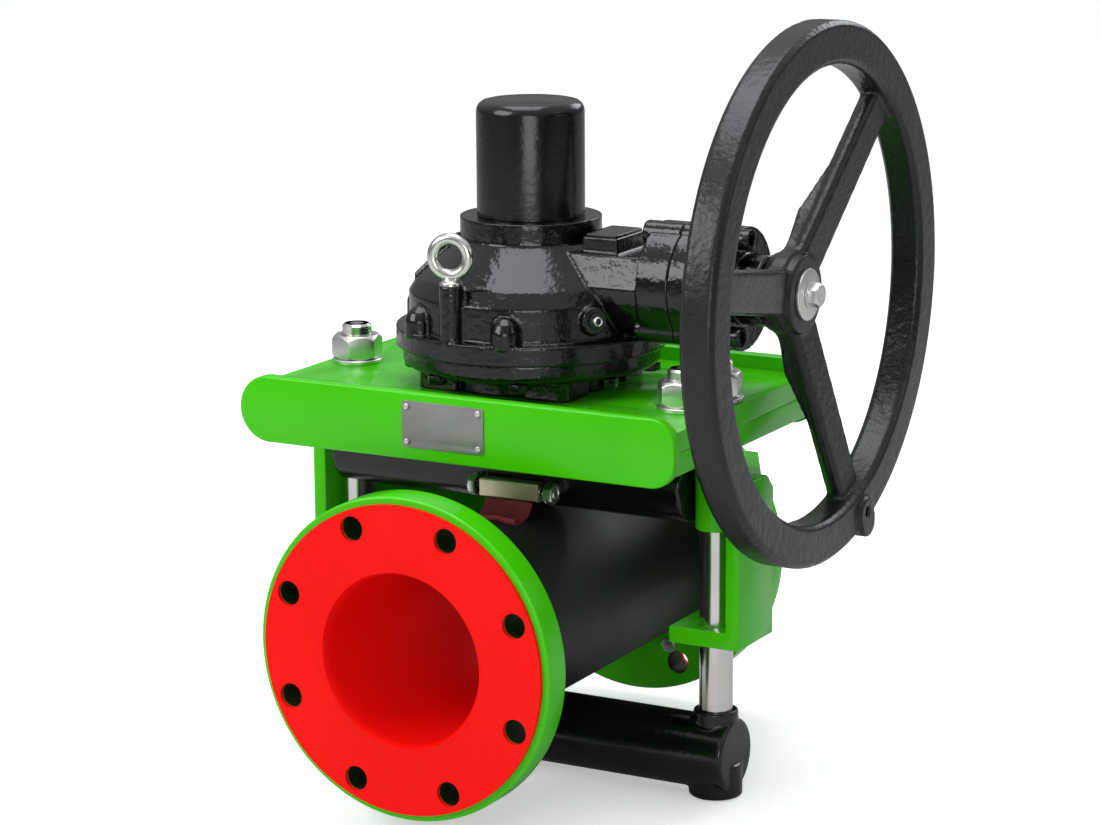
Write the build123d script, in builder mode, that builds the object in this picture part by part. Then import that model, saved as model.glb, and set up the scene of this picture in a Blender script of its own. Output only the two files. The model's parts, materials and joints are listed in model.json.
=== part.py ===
"""Pinch valve with a bevel gearbox and handwheel, millimetres, +Z up, pipe along Y.

The origin is the centre of the pipe bore, half way between the two flange faces.
The valve is drawn open.  Every node is a separate closed solid or group of solids.
"""
import math
import os
from build123d import *

os.makedirs("parts", exist_ok=True)

# ---------------------------------------------------------------- driving sizes
# pipe side
face_to_face = 470.0
bore_d = 150.0
flange_d = 285.0
hole_edge = 22.5          # centre of a flange hole to the flange's rim
bolt_holes = 8
bolt_hole_d = 22.0
flange_t = 30.0
face_t = 4.0
face_edge = 6.5           # steel left bare round the sealing face
liner_t = 5.0
sleeve_t = 13.0
mouth = 2.5
screw_in = 13.0           # retaining screws inside the holes, off the sleeve
screw_spread = 22.5       # their angle from the vertical
screw_d = 8.0
screw_af = 13.0
screw_deep = 15.0
# clearances
skin_gap = 0.1            # rubber on rubber, and rubber in its flange
run_fit = 0.05            # radial, a shaft or rod in its own hole
body_gap = 0.3            # curved faces of two different bodies
cloth_gap = 0.5           # strap over the sleeve
rest_gap = 0.5            # yoke over the guide tube
# guide rods and pinch bars
rod_x = 184.0
rod_d = 30.0
rod_thread_d = 27.0
bar_d = 66.0
bar_chamfer = 2.0
bar_end = 20.0            # lower bar beyond the rod's axis
lower_travel = 62.0
upper_travel = 86.0
boss_d = 40.0
boss_rise = 8.0           # boss above the crown of the lower bar
rod_below = 5.0           # rod end under the lower bar
lug_gap = 1.0             # lower bar's boss to the lug when closed
# side brackets
lug_t = 15.0
lug_inset = 12.0          # lug's rear corner, in from five wall widths
foot_w = 22.0             # foot of the lug on the rear flange
wall_t = 13.0
wall_clear = 21.0         # rod axis to the wall's inner face
wall_front = -26.0
wall_back = 44.0
wall_rise = 9.0           # wall above the upper bar's axis
shelf_z = 68.0
shelf_t = 15.0
shelf_run = 36.0          # shelf along the sleeve
tube_d = 38.0
tube_below = 36.0         # guide tube below the upper bar's axis
# yoke frame
head_room = 28.0          # crown of the upper bar to the plate
plate_t = 18.0
plate_end = 27.0          # plate beyond the rod's axis
plate_y = 135.0
beam_t = 12.0
beam_over = 5.0           # beam beyond the plate's end
beam_below = 29.0
beam_above = 13.0
beam_round = 24.0
side_drop = 20.0
side_t = 8.0
nut_af = 41.0
nut_h = 22.0
washer_d = 46.0
washer_t = 4.0
stud_out = 10.0           # thread above its nut
stop_x = 10.0             # stop stud, inboard of the rod
stop_y = 47.0             # and in front of it
stop_below = 14.0
# nameplate
label_w = 81.0
label_h = 41.0
label_t = 1.2
label_x = -6.6
label_up = 2.0
label_screw_d = 3.0
label_margin = 5.0
# gearbox
foot_h = 19.0
foot_half = 76.0
foot_round = 10.0
spigot_r = 78.0
mount_r = 88.0
mount_d = 12.0
mount_af = 19.0
mount_head = 8.0
mount_deep = 12.0
base_h = 17.0
base_r = 115.0
ring_h = 17.0
ring_r = 121.0
casing_bolt_r = 106.0
casing_bolt_af = 16.0
casing_bolt_h = 8.0
wall_r = 109.0
wall_h = 31.0
casing_t = 17.0
shoulder_in = 9.0
shoulder_up = 13.0
collar_r = 63.0
collar_rise = 47.0        # foot of the collar above the wall
collar_h = 19.0
collar_ease = 6.0
cover_r = 48.0
cover_h = 102.0
cover_t = 5.0
cover_round = 7.0
knuckle_r = 13.0          # domed knuckles over the casing bolts
knuckle_at = 110.0
knuckle_h = 15.0
# input side
input_rise = 47.0         # input axis above the ring
input_r = 54.0
input_x0 = 131.0
input_x1 = 161.0
cover_x1 = 211.0
bearing_way_r = 36.0
bearing_l = 15.0
bearing_in = 3.0          # bearing pockets short of the faces
neck_r = 51.0
neck_top = 26.0           # flat top of the neck above the input axis
neck_flat = 38.0
input_screws = 3
input_screw_r = 48.0
input_screw_a = 109.0
input_screw_d = 12.0
input_screw_deep = 14.0
input_head_d = 18.0
screw_end_gap = 2.0       # blind hole below its screw
input_lug_r = 11.0
input_lug_x0 = 124.0
nose_r = 31.0
nose_l = 24.0
pad_x = 86.0
pad_y = -6.0
pad_w = 34.0
pad_l = 54.0
pad_h = 14.0
lid_t = 2.5
lid_edge = 1.5
# eye bolt and grease nipple
eye_x = -19.0
eye_y = -109.0
eye_turn = 12.0           # ring turned about the vertical
eye_rise = 49.0           # its seat above the ring
eye_neck = 9.0
eye_ring_r = 16.0
eye_wire_r = 5.2
eye_post_r = 10.5
eye_collar_r = 10.0
eye_collar_h = 3.5
eye_thread_d = 10.0
eye_deep = 27.0
nipple_a = -33.0
nipple_rise = 20.0
nipple_boss_r = 12.0
nipple_boss_h = 8.0
nipple_d = 10.0
# screw and gears
stem_d = 34.0
lead = 12.0
stem_clear = 12.0         # stem's top below the cover's top
nut_r = 34.0
bearing_r = 52.0
bearing_h = 9.5
upper_bearing_h = 19.0
pinion_r = 20.0
gear_ratio = 3.0
tooth_gap = 0.8
# handwheel
wheel_r = 233.0
rim_w = 37.0
rim_x0 = 260.5
rim_t = 31.0
rim_edge = 4.0
hub_r = 34.0
hub_gap = 3.0
hub_l = 29.0
shaft_d = 28.0
spoke_w = 40.0
spoke_t = 20.0
spoke_a = 80.0
spokes = 3
web_r = 26.0              # hollow between two spokes
crank_in = 16.0
web_in = 5.0              # star web behind the hub's inner face
web_out = 9.0             # and its outer face
crank_a = 20.0
crank_w = 28.0
crank_l = 36.0
crank_out = 4.0
crank_hole_d = 10.0
wheel_washer_d = 45.0
wheel_washer_t = 3.5
wheel_screw_af = 19.0
wheel_screw_h = 11.0

# ---------------------------------------------------------------- derived
half = face_to_face / 2
steel_out = half - face_t
steel_in = steel_out - flange_t
bolt_circle = flange_d - 2 * hole_edge
face_d = flange_d - 2 * face_edge
screw_angles = [90 - screw_spread, 90 + screw_spread, 270 - screw_spread, 270 + screw_spread]
liner_r = bore_d / 2 + liner_t
sleeve_r = bore_d / 2 + sleeve_t
screw_r = sleeve_r + screw_in
bar_z = sleeve_r + bar_d / 2
boss_top = -bar_z + bar_d / 2 + boss_rise
lug_low = boss_top + lower_travel + lug_gap
rod_foot = -bar_z - bar_d / 2 - rod_below
rod_hole_d = rod_d + 2 * run_fit
lower_half = rod_x + bar_end
wall_in = rod_x + wall_clear
wall_out = wall_in + wall_t
wall_top = bar_z + wall_rise
plate_x = rod_x + plate_end
plate_low = bar_z + bar_d / 2 + head_room
plate_top = plate_low + plate_t
beam_x = plate_x + beam_over
beam_low = plate_low - beam_below
beam_high = plate_top + beam_above
rod_top = plate_top + washer_t + nut_h + stud_out
box_low = plate_top + foot_h
seam_z = box_low + base_h
ring_top = seam_z + ring_h
wall_z = ring_top + wall_h
collar_z = wall_z + collar_rise
collar_top = collar_z + collar_h
cover_top = collar_top + cover_h
input_z = ring_top + input_rise
eye_seat = ring_top + eye_rise
eye_z = eye_seat + eye_neck + eye_ring_r
stem_top = cover_top - stem_clear
stem_r = stem_d / 2
crown_r = pinion_r * gear_ratio
nose_x = cover_x1 + nose_l
hub_x0 = nose_x + hub_gap
hub_x1 = hub_x0 + hub_l
rim_in = wheel_r - rim_w
rim_x1 = rim_x0 + rim_t
hole_angles = [360 / bolt_holes * (i + 0.5) for i in range(bolt_holes)]


def save(part, name):
    part.label = name
    export_step(part, "parts/" + name + ".step")


# ---------------------------------------------------------------- pipe side
def flange_ring(part_side):
    """One steel flange; part_side is -1 for the front and +1 for the rear."""
    start = steel_in * part_side
    with BuildPart() as ring:
        with BuildSketch(Plane.XZ.offset(-start)):
            Circle(flange_d / 2)
            Circle(sleeve_r + skin_gap, mode=Mode.SUBTRACT)
            with PolarLocations(bolt_circle / 2, bolt_holes, start_angle=hole_angles[0]):
                Circle(bolt_hole_d / 2, mode=Mode.SUBTRACT)
        extrude(amount=-flange_t * part_side)
        rims = ring.edges().filter_by(GeomType.CIRCLE)
        rims = rims.filter_by(lambda e: abs(e.radius - flange_d / 2) < 0.01)
        chamfer(rims, length=flange_t / 20)
    return ring


front_flange = flange_ring(-1)
save(front_flange.part, "front_flange")

rear_flange = flange_ring(1)


def screw_places():
    return [
        (screw_r * math.cos(math.radians(a)), screw_r * math.sin(math.radians(a))) for a in screw_angles]


with BuildPart() as rear_drilled:
    add(rear_flange.part)
    with BuildSketch(Plane.XZ.offset(-steel_in)):
        with Locations(*screw_places()):
            Circle(screw_d / 2)
    extrude(amount=-screw_deep - 1.0, mode=Mode.SUBTRACT)
save(rear_drilled.part, "rear_flange")

with BuildPart() as flange_screws:
    with BuildSketch(Plane.XZ.offset(-steel_in)):
        with Locations(*screw_places()):
            RegularPolygon(screw_af / 2, 6, major_radius=False)
    extrude(amount=screw_af / 2)
    with BuildSketch(Plane.XZ.offset(-steel_in)):
        with Locations(*screw_places()):
            Circle(screw_d / 2 - run_fit)
    extrude(amount=-screw_deep)
save(flange_screws.part, "flange_screws")

with BuildPart() as sleeve_liner:
    with BuildSketch(Plane.XZ.offset(half)):
        Circle(liner_r)
        Circle(bore_d / 2, mode=Mode.SUBTRACT)
    extrude(amount=-face_to_face)
    mouths = sleeve_liner.edges().filter_by(GeomType.CIRCLE)
    mouths = mouths.filter_by(lambda e: abs(e.radius - bore_d / 2) < 0.01)
    chamfer(mouths, length=mouth)
save(sleeve_liner.part, "sleeve_liner")

for side, word in ((1, "front"), (-1, "rear")):
    with BuildPart() as seal_face:
        with BuildSketch(Plane.XZ.offset(half * side)):
            Circle(face_d / 2)
            Circle(liner_r + skin_gap, mode=Mode.SUBTRACT)
            with PolarLocations(bolt_circle / 2, bolt_holes, start_angle=hole_angles[0]):
                Circle(bolt_hole_d / 2, mode=Mode.SUBTRACT)
        extrude(amount=-face_t * side)
    save(seal_face.part, word + "_seal_face")

sleeve_in = liner_r + skin_gap
with BuildPart() as sleeve_cover:
    with BuildSketch(Plane.XY):
        with Locations(((sleeve_in + sleeve_r) / 2, 0)):
            Rectangle(sleeve_r - sleeve_in, 2 * steel_out)
    revolve(axis=Axis.Y)
save(sleeve_cover.part, "sleeve_cover")


# ---------------------------------------------------------------- side brackets
def side_bracket(s, tube):
    """Wall, lug and gussets on one side; s is -1 left, +1 right."""
    lug_in = rod_x - tube_d / 2 - lug_t
    foot_out = wall_out - 5 * wall_t - lug_inset
    with BuildPart() as br:
        with BuildSketch(Plane.XY.offset(lug_low)):
            with BuildLine():
                Polyline(
                    (s * lug_in, wall_front), (s * wall_out, wall_front), (s * wall_out, wall_back),
                    (s * foot_out, steel_in), (s * (foot_out - foot_w), steel_in),
                    (s * (foot_out - foot_w), (wall_back + steel_in) / 2), (s * lug_in, wall_back), close=True)
            make_face()
        extrude(amount=lug_t)
        with BuildSketch(Plane.XY.offset(lug_low)):
            with Locations((s * (wall_in + wall_out) / 2, (wall_front + wall_back) / 2)):
                Rectangle(wall_t, wall_back - wall_front)
        extrude(amount=wall_top - lug_low)
        with BuildSketch(Plane.XY.offset(shelf_z)):
            with BuildLine():
                Polyline(
                    (s * (wall_in + 1), wall_back - 20), (s * wall_out, wall_back - 20),
                    (s * wall_out, wall_back), (s * foot_out, steel_in),
                    (s * sleeve_r, steel_in), (s * sleeve_r, steel_in - shelf_run), close=True)
            make_face()
        extrude(amount=shelf_t)
        corner = br.edges().filter_by(Axis.X).filter_by(lambda e: e.center().Z > wall_top - 0.1)
        chamfer(corner.sort_by(Axis.Y)[-1], length=wall_t)
        if tube:
            with BuildSketch(Plane.XY.offset(bar_z - tube_below)):
                with Locations((s * rod_x, 0)):
                    Circle(tube_d / 2)
                with Locations((s * (rod_x + wall_out) / 2, 0)):
                    Rectangle(wall_out - rod_x, tube_d - 16.0)
            extrude(amount=wall_top - bar_z + tube_below)
            with BuildSketch(Plane.XY.offset(wall_top)):
                with Locations((s * rod_x, 0)):
                    Circle(tube_d / 2)
            extrude(amount=plate_low - wall_top - rest_gap)
        with BuildSketch(Plane.XY.offset(lug_low)):
            with Locations((s * rod_x, 0)):
                Circle(rod_hole_d / 2)
        extrude(amount=plate_low - lug_low, mode=Mode.SUBTRACT)
    return br


left_bracket = side_bracket(-1, False)
save(left_bracket.part, "left_bracket")
right_bracket = side_bracket(1, True)
save(right_bracket.part, "right_bracket")

# ---------------------------------------------------------------- yoke frame
stud_places = [(rod_x, 0), (-rod_x, 0), (rod_x - stop_x, -stop_y)]
with BuildPart() as top_plate:
    with BuildSketch(Plane.XY.offset(plate_low)):
        Rectangle(2 * plate_x, 2 * plate_y)
        Circle(stem_r + skin_gap + lead, mode=Mode.SUBTRACT)
        with Locations(*stud_places):
            Circle(rod_thread_d / 2 + run_fit, mode=Mode.SUBTRACT)
        with PolarLocations(mount_r, 4, start_angle=45):
            Circle(mount_d / 2 + 1.0, mode=Mode.SUBTRACT)
    extrude(amount=plate_t)
save(top_plate.part, "top_plate")


def beam(y0):
    """A flat bar on edge with a full-round left end and rounded right corners."""
    mid = (beam_low + beam_high) / 2
    tall = beam_high - beam_low
    with BuildPart() as b:
        with BuildSketch(Plane.XZ.offset(-y0)):
            with Locations((0, mid)):
                Rectangle(2 * beam_x, tall)
        extrude(amount=-beam_t)
        ends = b.edges().filter_by(Axis.Y)
        left = ends.filter_by(lambda e: e.center().X < 0)
        right = ends.filter_by(lambda e: e.center().X > 0)
        fillet(left, radius=tall / 2 - 0.2)
        fillet(right, radius=beam_round)
    return b


front_beam = beam(-plate_y - beam_t)
save(front_beam.part, "front_beam")
rear_beam = beam(plate_y)
save(rear_beam.part, "rear_beam")

with BuildPart() as side_bars:
    with BuildSketch(Plane.XY.offset(plate_low - side_drop)):
        with Locations((plate_x - side_t / 2, 0), (-plate_x + side_t / 2, 0)):
            Rectangle(side_t, 2 * plate_y)
    extrude(amount=side_drop)
save(side_bars.part, "side_bars")

label_z = (beam_low + beam_high) / 2 + label_up
label_face = plate_y + beam_t
pitch_w = label_w - 2 * label_margin
pitch_h = label_h - 2 * label_margin
with BuildPart() as nameplate:
    with BuildSketch(Plane.XZ.offset(label_face)):
        with Locations((label_x, label_z)):
            RectangleRounded(label_w, label_h, 3.0)
            with GridLocations(pitch_w, pitch_h, 2, 2):
                Circle(label_screw_d / 2 + skin_gap, mode=Mode.SUBTRACT)
    extrude(amount=label_t)
save(nameplate.part, "nameplate")

with BuildPart() as nameplate_screws:
    with BuildSketch(Plane.XZ.offset(label_face)):
        with Locations((label_x, label_z)):
            with GridLocations(pitch_w, pitch_h, 2, 2):
                Circle(label_screw_d / 2)
    extrude(amount=label_t)
    with BuildSketch(Plane.XZ.offset(label_face + label_t)):
        with Locations((label_x, label_z)):
            with GridLocations(pitch_w, pitch_h, 2, 2):
                Circle(label_screw_d)
    extrude(amount=label_screw_d * 0.6, taper=20)
save(nameplate_screws.part, "nameplate_screws")

for side, word in ((-1, "left"), (1, "right")):
    with BuildPart() as guide_rod:
        with BuildSketch(Plane.XY.offset(rod_foot)):
            with Locations((side * rod_x, 0)):
                Circle(rod_d / 2)
        extrude(amount=plate_low - rod_foot)
        with BuildSketch(Plane.XY.offset(plate_low)):
            with Locations((side * rod_x, 0)):
                Circle(rod_thread_d / 2)
        extrude(amount=rod_top - plate_low)
        tip = guide_rod.faces().sort_by(Axis.Z)[-1]
        chamfer(tip.edges(), length=2.0)
    save(guide_rod.part, "guide_rod_" + word)

with BuildPart() as stop_stud:
    with BuildSketch(Plane.XY.offset(plate_low - stop_below)):
        with Locations(stud_places[2]):
            Circle(rod_thread_d / 2)
    extrude(amount=rod_top - plate_low + stop_below)
    chamfer(stop_stud.edges().filter_by(GeomType.CIRCLE), length=2.0)
save(stop_stud.part, "stop_stud")

with BuildPart() as rod_washers:
    with BuildSketch(Plane.XY.offset(plate_top)):
        with Locations(*stud_places):
            Circle(washer_d / 2)
            Circle(rod_thread_d / 2 + run_fit, mode=Mode.SUBTRACT)
    extrude(amount=washer_t)
save(rod_washers.part, "rod_washers")

with BuildPart() as rod_nuts:
    with BuildSketch(Plane.XY.offset(plate_top + washer_t)):
        with Locations(*stud_places):
            RegularPolygon(nut_af / 2, 6, major_radius=False, rotation=12)
            Circle(rod_thread_d / 2 + run_fit, mode=Mode.SUBTRACT)
    extrude(amount=nut_h)
save(rod_nuts.part, "rod_nuts")

with BuildPart() as lower_pinch_bar:
    with BuildSketch(Plane.YZ.offset(-lower_half)):
        with Locations((0, -bar_z)):
            Circle(bar_d / 2)
    extrude(amount=2 * lower_half)
    rims = lower_pinch_bar.edges().filter_by(GeomType.CIRCLE)
    chamfer(rims, length=bar_chamfer)
    with BuildSketch(Plane.XY.offset(-bar_z)):
        with Locations((rod_x, 0), (-rod_x, 0)):
            Circle(boss_d / 2)
    extrude(amount=boss_top + bar_z)
    with BuildSketch(Plane.XY.offset(rod_foot)):
        with Locations((rod_x, 0), (-rod_x, 0)):
            Circle(rod_d / 2)
    extrude(amount=bar_d * 2, mode=Mode.SUBTRACT)
save(lower_pinch_bar.part, "lower_pinch_bar")

# ---------------------------------------------------------------- gearbox
cavity_r = wall_r - casing_t
cavity_top = wall_z + 6.0
upper_way_r = nut_r + 10.0
with BuildPart() as gearbox_base:
    with BuildSketch(Plane.XY.offset(box_low)):
        Circle(base_r)
    extrude(amount=seam_z - box_low)
    chamfer(gearbox_base.edges().filter_by(GeomType.CIRCLE).sort_by(Axis.Z)[0], length=3.0)
    with BuildSketch(Plane.XY.offset(plate_top)):
        Circle(spigot_r)
    extrude(amount=foot_h)
    # the square mounting foot, hollowed between its four corners
    with BuildSketch(Plane.XY.offset(plate_top)):
        RectangleRounded(2 * foot_half, 2 * foot_half, foot_round)
        with Locations((0, -foot_half), (0, foot_half)):
            Rectangle(0.9 * foot_half, 20.0, mode=Mode.SUBTRACT)
        with Locations((-foot_half, 0), (foot_half, 0)):
            Rectangle(20.0, 0.9 * foot_half, mode=Mode.SUBTRACT)
    extrude(amount=foot_h)
    with BuildSketch(Plane.XY.offset(plate_top)):
        Circle(stem_r + lead / 4)
    extrude(amount=seam_z - plate_top, mode=Mode.SUBTRACT)
    with BuildSketch(Plane.XY.offset(plate_top)):
        with PolarLocations(mount_r, 4, start_angle=45):
            Circle(mount_d / 2)
    extrude(amount=mount_deep + 1.0, mode=Mode.SUBTRACT)
save(gearbox_base.part, "gearbox_base")

nipple_dir = Vector(1, 0, 0).rotate(Axis.Z, nipple_a)
nipple_plane = Plane(origin=(0, 0, ring_top + nipple_rise), z_dir=nipple_dir)
nipple_seat = wall_r + nipple_boss_h
knuckle_angles = [287 - 360 / 7 * i for i in (0, 1, 2, 3, 4)]
neck_z = input_z + neck_top
with BuildPart() as gearbox_housing:
    with BuildSketch(Plane.XZ):
        with BuildLine():
            Polyline(
                (cavity_r, seam_z), (ring_r, seam_z), (ring_r, ring_top), (wall_r, ring_top), (wall_r, wall_z),
                (wall_r - shoulder_in, wall_z + shoulder_up),
                (collar_r + collar_ease, collar_z - collar_ease), (collar_r, collar_z),
                (collar_r, collar_top), (upper_way_r, collar_top), (upper_way_r, cavity_top),
                (cavity_r, cavity_top), close=True)
        make_face()
    revolve(axis=Axis.Z)
    # the neck: round below, roof-shaped above, with a flat for the inspection pad
    with BuildSketch(Plane.YZ.offset(upper_way_r)):
        with BuildLine():
            Polyline((neck_r, input_z), (neck_flat, neck_z), (-neck_flat, neck_z), (-neck_r, input_z))
            ThreePointArc((-neck_r, input_z), (0, input_z - neck_r), (neck_r, input_z))
        make_face()
    extrude(amount=input_x0 - upper_way_r)
    with BuildSketch(Plane.YZ.offset(input_x0)):
        with Locations((0, input_z)):
            Circle(input_r)
    extrude(amount=input_x1 - input_x0)
    with BuildSketch(Plane.YZ.offset(input_lug_x0)):
        with Locations((0, input_z)):
            with PolarLocations(input_screw_r, input_screws, start_angle=input_screw_a):
                Circle(input_lug_r)
    extrude(amount=input_x1 - input_lug_x0)
    with BuildSketch(Plane.XY.offset(neck_z - 1.0)):
        with Locations((pad_x, pad_y)):
            Rectangle(pad_w, pad_l)
    extrude(amount=pad_h + 1.0)
    # the eye bolt's post
    with BuildSketch(Plane.XY.offset(ring_top - 3.0)):
        with Locations((eye_x, eye_y)):
            Circle(eye_post_r)
    extrude(amount=eye_seat - ring_top + 3.0)
    # domed knuckles round the wall, over the casing bolts
    for a in knuckle_angles:
        kx = knuckle_at * math.cos(math.radians(a))
        ky = knuckle_at * math.sin(math.radians(a))
        with BuildSketch(Plane(origin=(kx, ky, 0), x_dir=(1, 0, 0), z_dir=(0, -1, 0))):
            with BuildLine():
                Polyline(
                    (0, ring_top - 3), (knuckle_r, ring_top - 3), (knuckle_r, ring_top + knuckle_h - 3),
                    (knuckle_r * 0.8, ring_top + knuckle_h + 4), (knuckle_r * 0.4, ring_top + knuckle_h + 8.5),
                    (0, ring_top + knuckle_h + 10), close=True)
            make_face()
        revolve(axis=Axis((kx, ky, 0), (0, 0, 1)))
    with BuildSketch(nipple_plane.offset(cavity_r + 4.0)):
        Circle(nipple_boss_r)
    extrude(amount=nipple_seat - cavity_r - 4.0)
    # radial ribs on the shoulder, behind
    for a in (205, 160, 115, 70):
        web = Plane(
            origin=(0, 0, 0), x_dir=Vector(1, 0, 0).rotate(Axis.Z, a), z_dir=Vector(0, -1, 0).rotate(Axis.Z, a))
        with BuildSketch(web):
            with BuildLine():
                Polyline(
                    (collar_r - 3, wall_z + shoulder_up), (wall_r - 5, wall_z),
                    (wall_r - 5, wall_z + shoulder_up), (collar_r + 4, collar_z + 2),
                    (collar_r - 3, collar_z + 2), close=True)
            make_face()
        extrude(amount=4.0, both=True)
    # the cavity, the stem way and the input shaft way
    with BuildSketch(Plane.XY.offset(seam_z)):
        Circle(cavity_r)
    extrude(amount=cavity_top - seam_z, mode=Mode.SUBTRACT)
    with BuildSketch(Plane.XY.offset(cavity_top)):
        Circle(upper_way_r)
    extrude(amount=collar_top - cavity_top, mode=Mode.SUBTRACT)
    with BuildSketch(Plane.YZ.offset(nut_r)):
        with Locations((0, input_z)):
            Circle(pinion_r + 2.0)
    extrude(amount=input_x1 - nut_r, mode=Mode.SUBTRACT)
    with BuildSketch(Plane.YZ.offset(input_x0 + bearing_in)):
        with Locations((0, input_z)):
            Circle(bearing_way_r)
    extrude(amount=input_x1 - input_x0 - bearing_in, mode=Mode.SUBTRACT)
    with BuildSketch(Plane.XY.offset(eye_seat)):
        with Locations((eye_x, eye_y)):
            Circle(eye_thread_d / 2)
    extrude(amount=-eye_deep - 3.0, mode=Mode.SUBTRACT)
    with BuildSketch(Plane.YZ.offset(input_x1)):
        with Locations((0, input_z)):
            with PolarLocations(input_screw_r, input_screws, start_angle=input_screw_a):
                Circle(input_screw_d / 2)
    extrude(amount=-input_screw_deep - screw_end_gap, mode=Mode.SUBTRACT)
save(gearbox_housing.part, "gearbox_housing")

with BuildPart() as pad_lid:
    with BuildSketch(Plane.XY.offset(neck_z + pad_h)):
        with Locations((pad_x, pad_y)):
            RectangleRounded(pad_w - 2 * lid_edge, pad_l - 2 * lid_edge, 3.0)
    extrude(amount=lid_t)
save(pad_lid.part, "pad_lid")

with BuildPart() as housing_bolts:
    with BuildSketch(Plane.XY.offset(box_low - casing_bolt_h)):
        with PolarLocations(casing_bolt_r, 8, start_angle=22.5):
            RegularPolygon(casing_bolt_af / 2, 6, major_radius=False)
    extrude(amount=casing_bolt_h)
save(housing_bolts.part, "housing_bolts")

with BuildPart() as stem_cover:
    with BuildSketch(Plane.XY.offset(collar_top)):
        Circle(cover_r)
    extrude(amount=cover_h)
    fillet(stem_cover.faces().sort_by(Axis.Z)[-1].edges(), radius=cover_round)
    with BuildSketch(Plane.XY.offset(collar_top)):
        Circle(cover_r - cover_t)
    extrude(amount=cover_h - cover_t, mode=Mode.SUBTRACT)
save(stem_cover.part, "stem_cover")

with BuildPart() as eye_bolt:
    ring_dir = Vector(1, 0, 0).rotate(Axis.Z, eye_turn)
    ring_axis = Vector(0, 1, 0).rotate(Axis.Z, eye_turn)
    with BuildSketch(Plane(origin=(eye_x, eye_y, eye_z), x_dir=ring_dir, z_dir=(0, 0, 1))):
        with Locations((eye_ring_r, 0)):
            RegularPolygon(eye_wire_r, 12, rotation=15)
    revolve(axis=Axis((eye_x, eye_y, eye_z), ring_axis), revolution_arc=360)
    with BuildSketch(Plane.XY.offset(eye_seat)):
        with Locations((eye_x, eye_y)):
            Circle(eye_collar_r)
    extrude(amount=eye_collar_h)
    with BuildSketch(Plane.XY.offset(eye_seat)):
        with Locations((eye_x, eye_y)):
            Circle(eye_collar_r - 3.0)
    extrude(amount=eye_z - eye_ring_r - eye_seat)
    with BuildSketch(Plane.XY.offset(eye_seat - eye_deep)):
        with Locations((eye_x, eye_y)):
            Circle(eye_thread_d / 2 - run_fit)
    extrude(amount=eye_deep + 1.0)
save(eye_bolt.part, "eye_bolt")

with BuildPart() as input_cover:
    with BuildSketch(Plane.YZ.offset(input_x1)):
        with Locations((0, input_z)):
            Circle(input_r)
            with PolarLocations(input_screw_r, input_screws, start_angle=input_screw_a):
                Circle(input_lug_r)
    extrude(amount=cover_x1 - input_x1)
    with BuildSketch(Plane.YZ.offset(cover_x1)):
        with Locations((0, input_z)):
            Circle(nose_r)
    extrude(amount=nose_l)
    chamfer(input_cover.faces().sort_by(Axis.X)[-1].edges(), length=2.5)
    with BuildSketch(Plane.YZ.offset(input_x1)):
        with Locations((0, input_z)):
            Circle(shaft_d / 2 + run_fit)
    extrude(amount=nose_x - input_x1, mode=Mode.SUBTRACT)
    with BuildSketch(Plane.YZ.offset(input_x1)):
        with Locations((0, input_z)):
            Circle(bearing_way_r)
    extrude(amount=cover_x1 - input_x1 - 2 * bearing_in, mode=Mode.SUBTRACT)
    with BuildSketch(Plane.YZ.offset(input_x1)):
        with Locations((0, input_z)):
            with PolarLocations(input_screw_r, input_screws, start_angle=input_screw_a):
                Circle(input_screw_d / 2)
    extrude(amount=cover_x1 - input_x1, mode=Mode.SUBTRACT)
save(input_cover.part, "input_cover")

with BuildPart() as input_bolts:
    with BuildSketch(Plane.YZ.offset(cover_x1)):
        with Locations((0, input_z)):
            with PolarLocations(input_screw_r, input_screws, start_angle=input_screw_a):
                Circle(input_head_d / 2)
    extrude(amount=input_screw_d)
    with BuildSketch(Plane.YZ.offset(input_x1 - input_screw_deep)):
        with Locations((0, input_z)):
            with PolarLocations(input_screw_r, input_screws, start_angle=input_screw_a):
                Circle(input_screw_d / 2 - run_fit)
    extrude(amount=cover_x1 - input_x1 + input_screw_deep)
    with BuildSketch(Plane.YZ.offset(cover_x1 + input_screw_d)):
        with Locations((0, input_z)):
            with PolarLocations(input_screw_r, input_screws, start_angle=input_screw_a):
                RegularPolygon(input_screw_d * 0.42, 6, major_radius=False)
    extrude(amount=-input_screw_d / 2, mode=Mode.SUBTRACT)
save(input_bolts.part, "input_bolts")

with BuildPart() as grease_nipple:
    with BuildSketch(nipple_plane.offset(nipple_seat)):
        Circle(nipple_d / 2)
    extrude(amount=nipple_d * 0.6)
    with BuildSketch(nipple_plane.offset(nipple_seat)):
        Circle(nipple_d / 4)
    extrude(amount=nipple_d)
save(grease_nipple.part, "grease_nipple")

# four bolts hold the gearbox on the plate, heads below
with BuildPart() as base_bolts:
    with BuildSketch(Plane.XY.offset(plate_low - mount_head)):
        with PolarLocations(mount_r, 4, start_angle=45):
            RegularPolygon(mount_af / 2, 6, major_radius=False)
    extrude(amount=mount_head)
    with BuildSketch(Plane.XY.offset(plate_low)):
        with PolarLocations(mount_r, 4, start_angle=45):
            Circle(mount_d / 2 - run_fit)
    extrude(amount=plate_t + mount_deep)
save(base_bolts.part, "base_bolts")

# ---------------------------------------------------------------- drive train
thrust_top = seam_z + bearing_h
crown_low = thrust_top + body_gap
drive_top = collar_top - 5.0
with BuildPart() as lower_bearing:
    with BuildSketch(Plane.XY.offset(seam_z)):
        Circle(bearing_r)
        Circle(nut_r + run_fit, mode=Mode.SUBTRACT)
    extrude(amount=bearing_h)
save(lower_bearing.part, "lower_bearing")

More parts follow.
